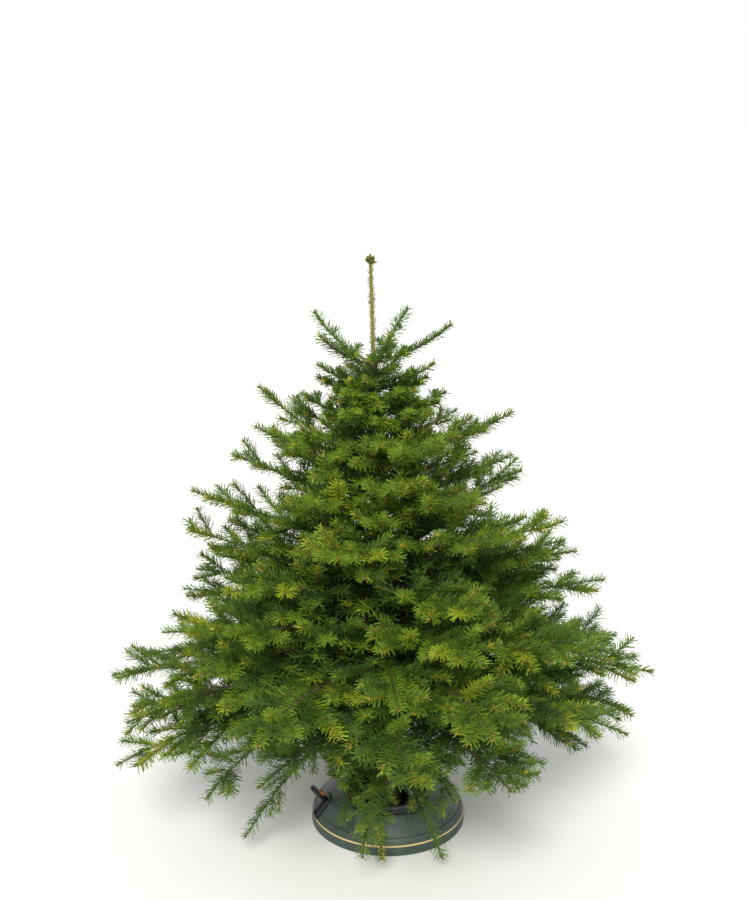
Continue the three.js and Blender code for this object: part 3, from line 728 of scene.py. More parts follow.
class Branch:
    """One branch of a whorl, by the source's rule."""

    def __init__(self, whorl: Whorl, row: int, index: int, trunk: Trunk) -> None:
        """Draws the branch's own small differences.

        Args:
            whorl: the ring it belongs to.
            row: the ring's number.
            index: the branch's number in its ring.
            trunk: what it grows on.
        """
        self.whorl, self.trunk = whorl, trunk
        self.label = f"{whorl.name}_{index + 1}"
        self.dice = Dice(SEED + 101 * row + 7 * index)
        self.fine = Dice(SEED + 7919 + 101 * row + 7 * index)
        roll = self.dice.roll
        self.azimuth = whorl.phase + whorl.step * index + 14 * (roll() - 0.5)
        front = max(0.0, -math.sin(math.radians(self.azimuth)))
        self.reach = whorl.reach * (0.95 + 0.1 * roll())
        self.tip = whorl.tip + whorl.front * front + 0.07 * whorl.reach * (roll() - 0.5)
        self.bend = 16 * (roll() - 0.5)
        self.foot = trunk.axis(whorl.z)
        self.end = STEM_END

    def at(self, t: float) -> Vector:
        """The middle line, from the trunk's axis (0) to the tip (1)."""
        turn = math.radians(self.azimuth + self.bend * t * t)
        away = self.reach * t
        height = self.whorl.z + (self.tip - self.whorl.z) * t + 4 * self.whorl.arch * t * (1 - t)
        return Vector((self.foot.x + away * math.cos(turn), away * math.sin(turn), height))

    def along(self, t: float) -> Vector:
        """The way the middle line runs at a share of its length."""
        return (self.at(min(1.0, t + 0.04)) - self.at(t - 0.04)).normalized()

    def heading(self, t: float, hand: int, open_by: float, tilt: float) -> Vector:
        """The direction of a side twig.

        Args:
            t: where it stands.
            hand: -1 or 1 for the two sides, 0 for one that stands up.
            open_by: a small change of its angle, from -0.5 to 0.5.
            tilt: how much it turns up.

        Returns:
            The unit direction.
        """
        along = self.along(t)
        level = UP.cross(along).normalized()
        opened = math.radians(56 - 18 * t + 8 * open_by)
        aside = level * hand if hand else UP * 0.9
        direction = along * math.cos(opened) + aside * math.sin(opened)
        direction.z += tilt
        return direction.normalized()

    def side_twigs(self) -> list[SideTwig]:
        """The twigs that the source gives the branch."""
        whorl, roll, made = self.whorl, self.dice.roll, []
        first = whorl.bough + 0.06 if whorl.bough else 0.2
        stride = (0.86 - first) / (whorl.pairs - 0.3)
        for i in range(whorl.pairs):
            for hand in (-1, 1, 0):
                if hand == 0 and i >= whorl.tops:
                    continue
                t = first + stride * (i + 0.3 * roll() + (0.0, 0.62, 0.3)[hand + 1])
                opened = roll() - 0.5
                tilt = 0.34 * (roll() - 0.3) if hand else 0.0
                direction = self.heading(t, hand, opened, tilt)
                share = (1.0 if hand else 0.62) * (1.18 - t) * (0.92 + 0.2 * roll())
                made.append(SideTwig(t, self.at(t), direction, self.reach * whorl.wide * share, hand))
        return made

    def away(self, point: Vector) -> float:
        """How far out a point stands from the middle of the branch's ring."""
        return math.hypot(point.x - self.foot.x, point.y)

    def in_own_space(self, point: Vector, slack: float) -> bool:
        """Whether a point lies in the branch's slice of the crown, above the floor."""
        away = self.away(point)
        off = off_course(point.x - self.foot.x, point.y, math.radians(self.azimuth))
        limit = SLICE * math.radians(min(60.0, 190 / self.whorl.count)) * slack
        return point.z > 0.006 and away < self.reach * 1.02 and off * min(away, SLICE) < limit


@dataclass
class KeepClear:
    """The room of the stand, the lever's swing and the foot that comes in to it, kept free of twigs.

    Each way in is lowest and highest x, the height of its roof over the stand's middle, and how much that
    rises towards the front and towards the right. The swing has a top, a half width and a reach. The
    stand's room has a top, a radius low down and how much that narrows over each length of height above its
    foot.
    """

    ways_in: tuple[tuple[float, float, float, float, float], ...] = (
        (-0.200, -0.105, 0.105, 0.55, 0.0), (0.135, 0.620, 0.041, 0.566, 0.23))
    swing: tuple[float, float, float] = (0.175, 0.042, 0.27)
    stand: tuple[float, float, float] = (0.152, 0.196, 0.55)
    stand_foot: float = 0.03

    def free_share(self, branch: Branch) -> float:
        """How far along a branch its stem stays out of the kept room."""
        share = 0.4
        while share < STEM_END and not self.blocks(branch.at(share)):
            share += 0.015
        return min(share, STEM_END)

    def blocks(self, point: Vector) -> bool:
        """Whether a twig may not pass through a point."""
        for low, high, roof, forward, right in self.ways_in:
            under = point.z < roof - forward * point.y + right * (point.x - low)
            if low < point.x < high and point.y < 0 and under:
                return True
        top, half, far = self.swing
        away = math.hypot(point.x, point.y)
        if point.z <= top and off_course(point.x, point.y, LEVER_TURN) * away < half and away < far:
            return True
        top, radius, narrowing = self.stand
        return point.z < top and away < radius - narrowing * max(0.0, point.z - self.stand_foot)


@dataclass
class Grower:
    """Grows the finer twigs of a branch on from the source's own ones.

    station and node are the steps between side twigs and between their shoots, stride the length of a
    line's steps, floor the least height of a twig, and least the length from which a twig carries shoots.
    """

    clear: KeepClear
    station: float = 0.108
    node: float = 0.100
    stride: float = 0.018
    floor: float = 0.034
    least: float = 0.100
    shoots: list[Shoot] = field(default_factory=list)

    def path(self, branch: Branch, root: Vector, heading: Vector, length: float, lift: float) -> list[Vector]:
        """A twig's middle line, which turns towards the branch's own direction and up or down.

        Args:
            branch: the branch it belongs to.
            root: where it starts.
            heading: the way it starts out.
            length: its whole length.
            lift: how much its end turns up.

        Returns:
            The points of the line, cut short where it would leave the branch's room.
        """
        fine = branch.fine
        steps = max(3, round(length / self.stride))
        forward = Vector((heading.x, heading.y, 0.0))
        sway = Vector((fine.between(-1, 1), fine.between(-1, 1), fine.between(-0.6, 0.6))) * 0.22
        line, way = [root.copy()], heading.normalized()
        for _ in range(steps):
            way = (way + (sway + forward * 0.1 + UP * lift) / steps).normalized()
            point = line[-1] + way * (length / steps)
            if point.z < self.floor or branch.away(point) > branch.reach * 1.015 or self.clear.blocks(point):
                break
            line.append(point)
        return line

    @staticmethod
    def out(branch: Branch, point: Vector) -> float:
        """How far out in the whole crown a point lies: about 1 at its edge."""
        edge = max(0.05, min(0.60, 0.60 * (1.24 - point.z) / 0.86, 0.34 + 1.1 * point.z))
        return branch.away(point) / edge

    def coat_at(self, branch: Branch, point: Vector) -> tuple[float, float, float]:
        """The needles' spacing, breadth and length on a spray that ends at a point.

        They stand wider apart and are broader deep in the crown, and are shorter at its top and on its low
        sprays.
        """
        if branch.whorl.z > CROWN_FROM:
            return 0.0005, 1.4, 0.88
        if branch.whorl.z < LOW_UNTIL:
            return 0.0009, 0.9, 0.68
        out = self.out(branch, point)
        return (0.0021, 1.5, 1.0) if out < 0.5 else (0.0013, 1.2, 1.0) if out < 0.68 else (0.00072, 1.0, 1.0)

    def tint(self, branch: Branch, point: Vector, rank: int) -> Tint:
        """The tint of a spray, from how far out in the crown it grows and how it lies: darker deep inside and
        on drooping rows as painted shade, lighter outside and high up as painted light, beside the real
        darker green of older needles.

        Args:
            branch: the branch it belongs to.
            point: its tip.
            rank: 1 for a side twig, more for the shoots on it.

        Returns:
            The tint.
        """
        out, lucky = self.out(branch, point), branch.fine.roll()
        if branch.whorl.z > CROWN_FROM:
            return Tint.MID if out > 0.55 or lucky < 0.3 else Tint.DEEP
        if branch.whorl.z < LOW_UNTIL:
            return Tint.MID if lucky < 0.7 else Tint.DEEP
        if rank == 1 and out > 0.78 and lucky < 0.16:
            return Tint.BRIGHT
        # Painted shade on the drooping rows and painted light on the high rows.
        low = (0.7 if branch.whorl.lift < 0 else 0.0) - (0.5 if branch.whorl.z > 0.7 else 0.0)
        score = 3.2 * out - 0.2 - low + 0.4 * (rank == 1) + branch.fine.between(-1.3, 1.3)
        return Tint(max(Tint.SHADE, min(Tint.FRESH, int(score))))

    def spray(self, branch: Branch, root: Vector, heading: Vector, length: float, rank: int) -> None:
        """Grows a twig and the shoots on it.

        Args:
            branch: the branch it belongs to.
            root: where it starts.
            heading: the way it starts out.
            length: its length.
            rank: 1 for a side twig, 2 for a shoot on it.
        """
        fine, lift = branch.fine, branch.whorl.lift
        line = self.path(branch, root, heading, length, lift + fine.between(-0.16, 0.16))
        if len(line) < 3:
            return
        reached, tip = measured(line), line[-1]
        crest = (UP + Vector((heading.x, heading.y, 0.0)) * 0.3).normalized()
        wood = Wood.SECOND if rank == 1 and reached > 0.11 else Wood.YOUNG
        gap, broad, size = self.coat_at(branch, tip)
        self.shoots.append(Shoot(
            line, (0.0010 + 0.0052 * reached, 0.0009), crest, self.tint(branch, tip, rank), wood,
            vigour=fine.between(0.94, 1.08) * size, bare=0.012 if rank == 1 else 0.003,
            full=max(0.0, min(1.0, 1.6 * heading.z - 0.3)), gap=gap, broad=broad))
        if rank > 2 or reached < self.least:
            return
        hand = 1 if fine.roll() < 0.5 else -1
        at = (reached - self.node) % self.node
        at += self.node if at < 0.028 else 0.0
        level = UP.cross(tip - line[0]).normalized()
        while at < reached - 0.05:
            share = at / reached * (len(line) - 1)
            i = min(len(line) - 2, int(share))
            spot = line[i].lerp(line[i + 1], share - i)
            way = (line[i + 1] - line[i]).normalized()
            for side in ((hand, -hand) if fine.roll() < 0.8 else (hand,)):
                opened = math.radians(fine.between(38, 54))
                rise = fine.between(-0.3, 0.45) + 0.3 * lift
                aim = way * math.cos(opened) + level * side * math.sin(opened) + UP * rise
                child = min(0.13, 0.52 * (reached - at) + 0.034) * fine.between(0.85, 1.12)
                self.spray(branch, spot, aim.normalized(), child, rank + 1)
            hand, at = -hand, at + self.node * fine.between(0.85, 1.1)

    def stem(self, branch: Branch) -> Shoot:
        """The branch's own stem, from where its needles start to its tip."""
        start, end = max(0.22, branch.whorl.bough), branch.end
        count = max(6, round(branch.reach * (end - start) / 0.02))
        line = [branch.at(start + (end - start) * i / count) for i in range(count + 1)]
        crest = (UP + (line[-1] - line[0]).normalized() * 0.3).normalized()
        vigour, gap = (0.94, 0.00065) if branch.whorl.z > CROWN_FROM else (1.0, 0.0009)
        return Shoot(line, (0.0, 0.0), crest, self.tint(branch, line[-1], 1), Wood.OLD, vigour, bare=0.0,
                     full=0.4, buds=3, gap=gap)

    def grow(self, branch: Branch) -> list[Shoot]:
        """All the needled shoots of a branch.

        Args:
            branch: the branch.

        Returns:
            Its shoots, the stem first.
        """
        self.shoots = [self.stem(branch)]
        fine, whorl = branch.fine, branch.whorl
        given, single = branch.side_twigs(), whorl.z > BARE_FROM
        for twig in given:
            branch.dice.roll()
            if twig.t > branch.end:
                continue
            length = twig.length * (0.52 if single else 1.0)
            while length > 0.03 and not branch.in_own_space(twig.root + twig.direction * length, 1.15):
                length *= 0.8
            self.spray(branch, twig.root, twig.direction, length, 1)
        t = whorl.bough + 0.03 if whorl.bough else max(0.13, 0.05 / branch.reach)
        last = min(0.9, 1 - 0.06 / branch.reach, branch.end - 0.03)
        while t < last and not single:
            for hand in (-1, 1):
                spot = t + fine.between(0.0, 0.4) * self.station / branch.reach
                near = any(twig.hand == hand and abs(twig.t - spot) < 0.03 for twig in given)
                length = branch.reach * whorl.wide * (1.18 - spot) * fine.between(0.62, 0.98)
                heading = branch.heading(spot, hand, fine.between(-0.9, 0.9), fine.between(-0.16, 0.22))
                if not near and branch.in_own_space(branch.at(spot) + heading * length, 1.25):
                    self.spray(branch, branch.at(spot), heading, length, 1)
            if fine.roll() < 0.62:
                side = fine.between(-0.5, 0.5)
                heading = (branch.heading(t, 0, 0.0, 0.1) + UP.cross(branch.along(t)) * side).normalized()
                self.spray(branch, branch.at(t), heading, min(0.12, 0.05 + branch.reach * 0.2 * (1.1 - t)), 1)
            t += self.station / branch.reach
        return self.shoots


# ---------------------------------------------------------------- threads that carry needles, twigs and buds
class Threads:
    """Collects polylines with their attributes and lays them down as one mesh of edges."""

    def __init__(self) -> None:
        """Starts with no threads."""
        self.points: list[Vector] = []
        self.edges: list[tuple[int, int]] = []
        self.values: dict[str, list] = {}

    def lay(self, line: Sequence[Vector], **values: Sequence) -> None:
        """Adds one polyline.

        Args:
            line: its points.
            values: for each attribute, a value for each point.
        """
        first = len(self.points)
        self.points += line
        self.edges += [(first + i, first + i + 1) for i in range(len(line) - 1)]
        for label, row in values.items():
            self.values.setdefault(label, []).extend(row)

    def piece(self, name: str) -> bpy.types.Object:
        """The threads as an object, with a point attribute for each value."""
        made = Shaper.from_faces(name, self.points, [], self.edges)
        for label, rows in self.values.items():
            vector = isinstance(rows[0], Vector)
            layer = made.data.attributes.new(label, "FLOAT_VECTOR" if vector else "FLOAT", "POINT")
            flat = np.array([tuple(r) for r in rows] if vector else rows, dtype=np.float32).ravel()
            layer.data.foreach_set("vector" if vector else "value", flat)
        return made


def trimmed(line: Sequence[Vector], start: float, end: float) -> list[tuple[Vector, float]]:
    """The stretch of a line between two lengths.

    Args:
        line: the points.
        start: length from the first point where the stretch begins.
        end: length where it ends.

    Returns:
        Its points, each with its length from the line's first point.
    """
    found, done = [], 0.0
    for a, b in zip(line, line[1:]):
        step = (b - a).length
        if done + step > start and done < end and step > 0:
            low, high = max(0.0, (start - done) / step), min(1.0, (end - done) / step)
            if not found:
                found.append((a.lerp(b, low), done + low * step))
            found.append((a.lerp(b, high), done + high * step))
        done += step
    return found


@dataclass
class NeedleCoat:
    """The needles on a set of shoots.

    roll is how far they turn about themselves, tip_stretch the length of a shoot's lighter end, and core
    the share of short needles that lie closer to the shoot and are painted lighter, partly for the fresh
    growth's colour and partly as a painted highlight.
    """

    materials: dict[Tint, bpy.types.Material]
    under: bpy.types.Material
    length: float = 0.0272
    width: float = 0.0021
    roll: float = 0.6
    tip_stretch: float = 0.036
    core: float = 0.24
    faces: int = 4

    @staticmethod
    def shape() -> bpy.types.Object:
        """One needle of unit length and width: a flat strap with a slight twist and a blunt end."""
        points = [(0, -0.5, 0), (0, 0.5, 0), (1, -0.34, 0.2), (1, 0.34, -0.2)]
        made = Shaper.from_faces("needle_shape", points, [(0, 2, 1), (1, 2, 3), (0, 1, 3), (0, 3, 2)])
        layer = made.data.attributes.new("under", "FLOAT", "FACE")
        layer.data.foreach_set("value", np.array([0, 0, 1, 1], dtype=np.float32))
        return made

    @cached_property
    def net(self) -> GeometryNet:
        """The rule that sets needles along threads, built once."""
        net = GeometryNet("needle_coat", {
            "Needle": None, "Length": self.length, "Width": self.width, "Turn": 0.381966, "Top Opening": 0.66,
            "Side Opening": 1.06, "Roll": self.roll, "Core": self.core, "Seed": 0})
        curve = net.add("GeometryNodeMeshToCurve", {"Mesh": net.given("Geometry")})
        points = net.add("GeometryNodeCurveToPoints", {"Curve": curve, "Length": net.named("gap")},
                         mode="LENGTH")
        way = points.outputs["Tangent"]
        side = net.vector("NORMALIZE", net.vector("CROSS_PRODUCT", way, net.named("crest", "FLOAT_VECTOR")))
        top = net.vector("CROSS_PRODUCT", side, way)

        # Where round the shoot each needle sits: wound on by a fixed turn, and kept to its upper sides.
        wound = net.math("FRACT", net.product(net.add("GeometryNodeInputIndex"), net.given("Turn")))
        toss = net.math("ADD", net.spread(wound, -0.96, 0.96), net.random(-0.04, 0.04, 1))
        lean = net.math("POWER", net.math("ABSOLUTE", toss), 1.1)
        turn = net.product(net.math("SIGN", toss), lean, net.spread(net.named("full"), 2.35, math.pi))
        across, over = net.math("SINE", turn), net.math("COSINE", turn)
        radial = net.vector("ADD", net.scaled(side, across), net.scaled(top, over))

        # How far it stands out: less on top, near the shoot's end and in the core.
        flat = net.math("ABSOLUTE", across)
        near = net.add("ShaderNodeClamp", {0: net.math("DIVIDE", net.named("rest"), 0.016)})
        core = net.math("LESS_THAN", net.random(0.0, 1.0, 5), net.given("Core"))
        wider = net.math("SUBTRACT", net.given("Side Opening"), net.given("Top Opening"))
        opened = net.math("MULTIPLY_ADD", flat, wider, net.given("Top Opening"))
        opened = net.product(opened, net.product(net.spread(near, 0.94, 1.0), net.named("open")))
        opened = net.math("ADD", opened, net.random(-0.08, 0.08, 2))
        opened = net.product(opened, net.spread(core, 1.0, 0.66))
        heading = net.vector("ADD", net.scaled(way, net.math("COSINE", opened)),
                             net.scaled(radial, net.math("SINE", opened)))
        size = net.product(net.given("Length"), net.named("vigour"), net.spread(flat, 0.7, 1.0),
                           net.spread(near, 0.72, 1.0), net.random(0.88, 1.08, 3),
                           net.spread(core, 1.0, 0.56))

        # Which way its upper side faces: up on a level shoot, and to the tip on a full brush.
        roll = net.product(net.random(-1.0, 1.0, 4), net.given("Roll"))
        ahead = net.spread(net.named("full"), 0.3, 1.0)
        level = net.vector("ADD", net.scaled(top, net.math("SUBTRACT", 1.0, ahead)), net.scaled(way, ahead))
        edgeways = net.vector("NORMALIZE", net.vector("CROSS_PRODUCT", heading, level))
        face = net.vector("ADD", net.scaled(level, net.math("COSINE", roll)),
                          net.scaled(edgeways, net.math("SINE", roll)))
        rotation = net.add("FunctionNodeAxesToRotation", {"Primary Axis": heading, "Secondary Axis": face},
                           primary_axis="X", secondary_axis="Z")

        # Its tint: the spray's own, one step lighter in the core and two in the core of a shoot's end; the
        # lighter core is partly the fresh growth's colour and partly a painted highlight in the brush's
        # middle.
        seat = net.scaled(radial, net.product(net.named("girth"), 0.8))
        placed = net.add("GeometryNodeSetPosition", {"Geometry": points.outputs["Points"], "Offset": seat})
        ends = net.math("LESS_THAN", net.named("rest"), self.tip_stretch)
        golden = net.product(core, net.math("ADD", ends, 1.0))
        shade = net.math("MINIMUM", net.math("ADD", net.named("tint"), golden), float(Tint.GILDED))
        placed = net.add("GeometryNodeStoreNamedAttribute",
                         {"Geometry": placed, "Name": "shade", "Value": shade},
                         data_type="FLOAT", domain="POINT")
        shape = net.add("GeometryNodeObjectInfo", {"Object": net.given("Needle")})
        broad = net.product(net.given("Width"), net.named("broad"))
        needles = net.add("GeometryNodeInstanceOnPoints", {
            "Points": placed, "Instance": shape.outputs["Geometry"], "Rotation": rotation,
            "Scale": net.add("ShaderNodeCombineXYZ", {0: size, 1: broad, 2: broad})})
        choices = [(net.math("COMPARE", net.named("shade"), float(tint), 0.4), material)
                   for tint, material in self.materials.items()]
        choices.append((net.math("GREATER_THAN", net.named("under"), 0.5), self.under))
        net.close(needles, choices)
        return net

    def count(self, shoots: Sequence[Shoot]) -> int:
        """About how many triangles the needles on some shoots take."""
        return round(sum(max(0.0, s.length() - s.bare) / s.gap + 2 for s in shoots) * self.faces)

    def build(self, name: str, shoots: Sequence[Shoot], seed: int) -> bpy.types.Object:
        """The needles of some shoots as one mesh.

        Args:
            name: the piece's name.
            shoots: the shoots.
            seed: the seed of the needles' small differences.

        Returns:
            The piece.
        """
        threads = Threads()
        for shoot in shoots:
            whole = shoot.length()
            parting = max(shoot.bare + 0.004, whole - self.tip_stretch)
            lighter = shoot.tint if shoot.tint >= Tint.FRESH else Tint(shoot.tint + 1)
            low, high = shoot.girth if shoot.girth[0] else shoot.seated
            for start, end, tint, full in ((shoot.bare, parting, shoot.tint, shoot.full),
                                           (parting, whole, lighter, max(shoot.full, 0.6))):
                stretch = trimmed(shoot.line, start, end)
                if len(stretch) < 2:
                    continue
                share = [at / whole for _, at in stretch]
                swell = [0.88 + 0.12 * math.sin(math.pi * min(1.0, 0.15 + s)) for s in share]
                even = {"gap": shoot.gap, "tint": float(tint), "full": full, "crest": shoot.crest,
                        "broad": shoot.broad, "open": shoot.open}
                threads.lay([p for p, _ in stretch], rest=[whole - at for _, at in stretch],
                            vigour=[shoot.vigour * s for s in swell],
                            girth=[low + (high - low) * s for s in share],
                            **{label: [value] * len(stretch) for label, value in even.items()})
        shape = self.shape()
        made = self.net.apply(threads.piece(name), {"Needle": shape, "Seed": seed})
        bpy.data.objects.remove(shape)
        return made


@dataclass
class TwigSweep:
    """Thin twigs swept along their middle lines, with young skin on their last stretch."""

    materials: dict[Wood, bpy.types.Material]
    sides: int = 3
    young: float = 0.05

    @cached_property
    def net(self) -> GeometryNet:
        """The rule that sweeps a round section along threads, built once."""
        net = GeometryNet("twig_sweep", {"Sides": self.sides})
        curve = net.add("GeometryNodeMeshToCurve", {"Mesh": net.given("Geometry")})
        ring = net.add("GeometryNodeCurvePrimitiveCircle", {"Resolution": net.given("Sides"), "Radius": 1.0})
        swept = net.add("GeometryNodeCurveToMesh", {"Curve": curve, "Profile Curve": ring,
                                                    "Scale": net.named("girth"), "Fill Caps": True})
        age = net.named("wood")
        net.close(swept, [(None, self.materials[Wood.SECOND]),
                          (net.math("LESS_THAN", age, 0.6), self.materials[Wood.YOUNG]),
                          (net.math("GREATER_THAN", age, 1.5), self.materials[Wood.OLD])])
        return net

    def build(self, name: str, shoots: Sequence[Shoot]) -> bpy.types.Object:
        """The wood of some shoots as one mesh."""
        threads = Threads()
        for shoot in shoots:
            (low, high), whole, steps = shoot.girth, shoot.length(), len(shoot.line) - 1
            shares = [i / steps for i in range(steps + 1)]
            ages = [Wood.YOUNG if whole * (1 - s) < self.young else max(shoot.wood, Wood.SECOND)
                    for s in shares]
            threads.lay(shoot.line, girth=[low + (high - low) * s ** 0.8 for s in shares],
                        wood=[float(age) for age in ages])
        made = self.net.apply(threads.piece(name), {})
        made.data.shade_smooth()
        return made


@dataclass
class BudScatter:
    """Buds, or other small shapes, set at points with a direction and a size."""

    material: bpy.types.Material
    label: str = "bud_scatter"

    @staticmethod
    def bud_shape(rings: int = 2, sides: int = 5) -> bpy.types.Object:
        """One pointed bud along +X, of unit length."""
        points, turns = [(0.0, 0.0, 0.0)], [2 * math.pi * k / sides for k in range(sides)]
        for i in range(rings):
            along = (i + 0.6) / (rings + 0.2)
            radius = 0.27 * math.sin(math.pi * min(1.0, along * 0.86 + 0.14)) ** 0.7
            points += [(along, radius * math.cos(turn), radius * math.sin(turn)) for turn in turns]
        end = len(points)
        points.append((1.0, 0.0, 0.0))
        faces = [(0, 1 + (k + 1) % sides, 1 + k) for k in range(sides)]
        faces += Shaper.between_rings(1, rings, sides)
        faces += [(end - sides + k, end - sides + (k + 1) % sides, end) for k in range(sides)]
        return Shaper.outward(Shaper.from_faces("bud_shape", points, faces))

    @cached_property
    def net(self) -> GeometryNet:
        """The rule that sets a shape at points, built once."""
        net = GeometryNet(self.label, {"Shape": None})
        rotation = net.add("FunctionNodeAxesToRotation", {
            "Primary Axis": net.named("aim", "FLOAT_VECTOR"), "Secondary Axis": (0.0, 0.0, 1.0)},
            primary_axis="X", secondary_axis="Z")
        shown = net.add("GeometryNodeObjectInfo", {"Object": net.given("Shape")})
        net.close(net.add("GeometryNodeInstanceOnPoints", {
            "Points": net.given("Geometry"), "Instance": shown.outputs["Geometry"], "Rotation": rotation,
            "Scale": net.named("size")}), [(None, self.material)])
        return net

    def build(self, name: str, spots: Sequence[tuple[Vector, Vector, float]],
              shape: bpy.types.Object) -> bpy.types.Object:
        """Sets the shape at each spot.

        Args:
            name: the piece's name.
            spots: place, direction and size of each.
            shape: the shape to set, along +X.

        Returns:
            The piece.
        """
        threads = Threads()
        for spot, aim, size in spots:
            threads.lay([spot], aim=[aim.normalized()], size=[size])
        made = self.net.apply(threads.piece(name), {"Shape": shape})
        bpy.data.objects.remove(shape)
        made.data.shade_smooth()
        return made


# ---------------------------------------------------------------- bark
@dataclass
class BarkTube:
    """A limb with the relief of its bark, swept ring by ring."""

    material: bpy.types.Material
    points: list[Vector] = field(default_factory=list)
    faces: list[tuple[int, ...]] = field(default_factory=list)

    def relief(self, spot: Vector, radius: float) -> float:
        """How far the bark stands proud at a point.

        Args:
            spot: the point on the smooth limb.
            radius: the limb's radius there.

        Returns:
            The height over the smooth limb.
        """
        level = Vector((spot.x, spot.y, spot.z * 3.2))
        swell = noise.noise(spot * 34.0)
        plates = noise.noise(level * 120.0)
        blister = max(0.0, noise.noise(spot * 210.0) - 0.28) * 2.2
        return min(0.0022, 0.09 * radius + 0.0002) * (0.45 * swell + 0.4 * plates + 0.7 * blister - 0.25)

    def sweep(self, line: Sequence[Vector], radii: Sequence[float], sides: int,
              proud: Callable[[Vector], float] | None = None) -> None:
        """Adds one limb along a line.

        Args:
            line: the middle of each ring.
            radii: the radius of each ring.
            sides: points round it.
            proud: an extra height at a point, such as a branch's collar.
        """
        start, count = len(self.points), len(line)
        across = (line[1] - line[0]).normalized().orthogonal().normalized()
        for i, (middle, radius) in enumerate(zip(line, radii)):
            way = (line[min(count - 1, i + 1)] - line[max(0, i - 1)]).normalized()
            across = (across - way * across.dot(way)).normalized()
            other = way.cross(across)
            for k in range(sides):
                turn = 2 * math.pi * k / sides
                out = across * math.cos(turn) + other * math.sin(turn)
                spot = middle + out * radius
                height = self.relief(spot, radius) + (proud(spot) if proud else 0.0)
                self.points.append(spot + out * height)
        self.faces += Shaper.between_rings(start, count, sides)
        self.faces.append(tuple(start + k for k in reversed(range(sides))))
        self.faces.append(tuple(start + (count - 1) * sides + k for k in range(sides)))

    def build(self, name: str) -> bpy.types.Object:
        """The limbs as one smooth-shaded mesh."""
        made = Shaper.from_faces(name, self.points, self.faces)
        made.data.materials.append(self.material)
        return Shaper.shade(made, 70)


# ---------------------------------------------------------------- the tree
# Lighter and darker copies of one needle green: partly the real colours of old and new needles, partly
# painted shade deep in the crown and painted light on its outer sprays.
TINTS = {  # each tint's colour and roughness
    Tint.SHADE: (srgb(42, 62, 31), 0.52),
    Tint.DEEP: (srgb(59, 85, 33), 0.48),
    Tint.MID: (srgb(78, 106, 35), 0.45),
    Tint.FRESH: (srgb(104, 131, 36), 0.42),
    Tint.BRIGHT: (srgb(138, 156, 38), 0.4),
    Tint.GILDED: (srgb(186, 166, 46), 0.4),
}


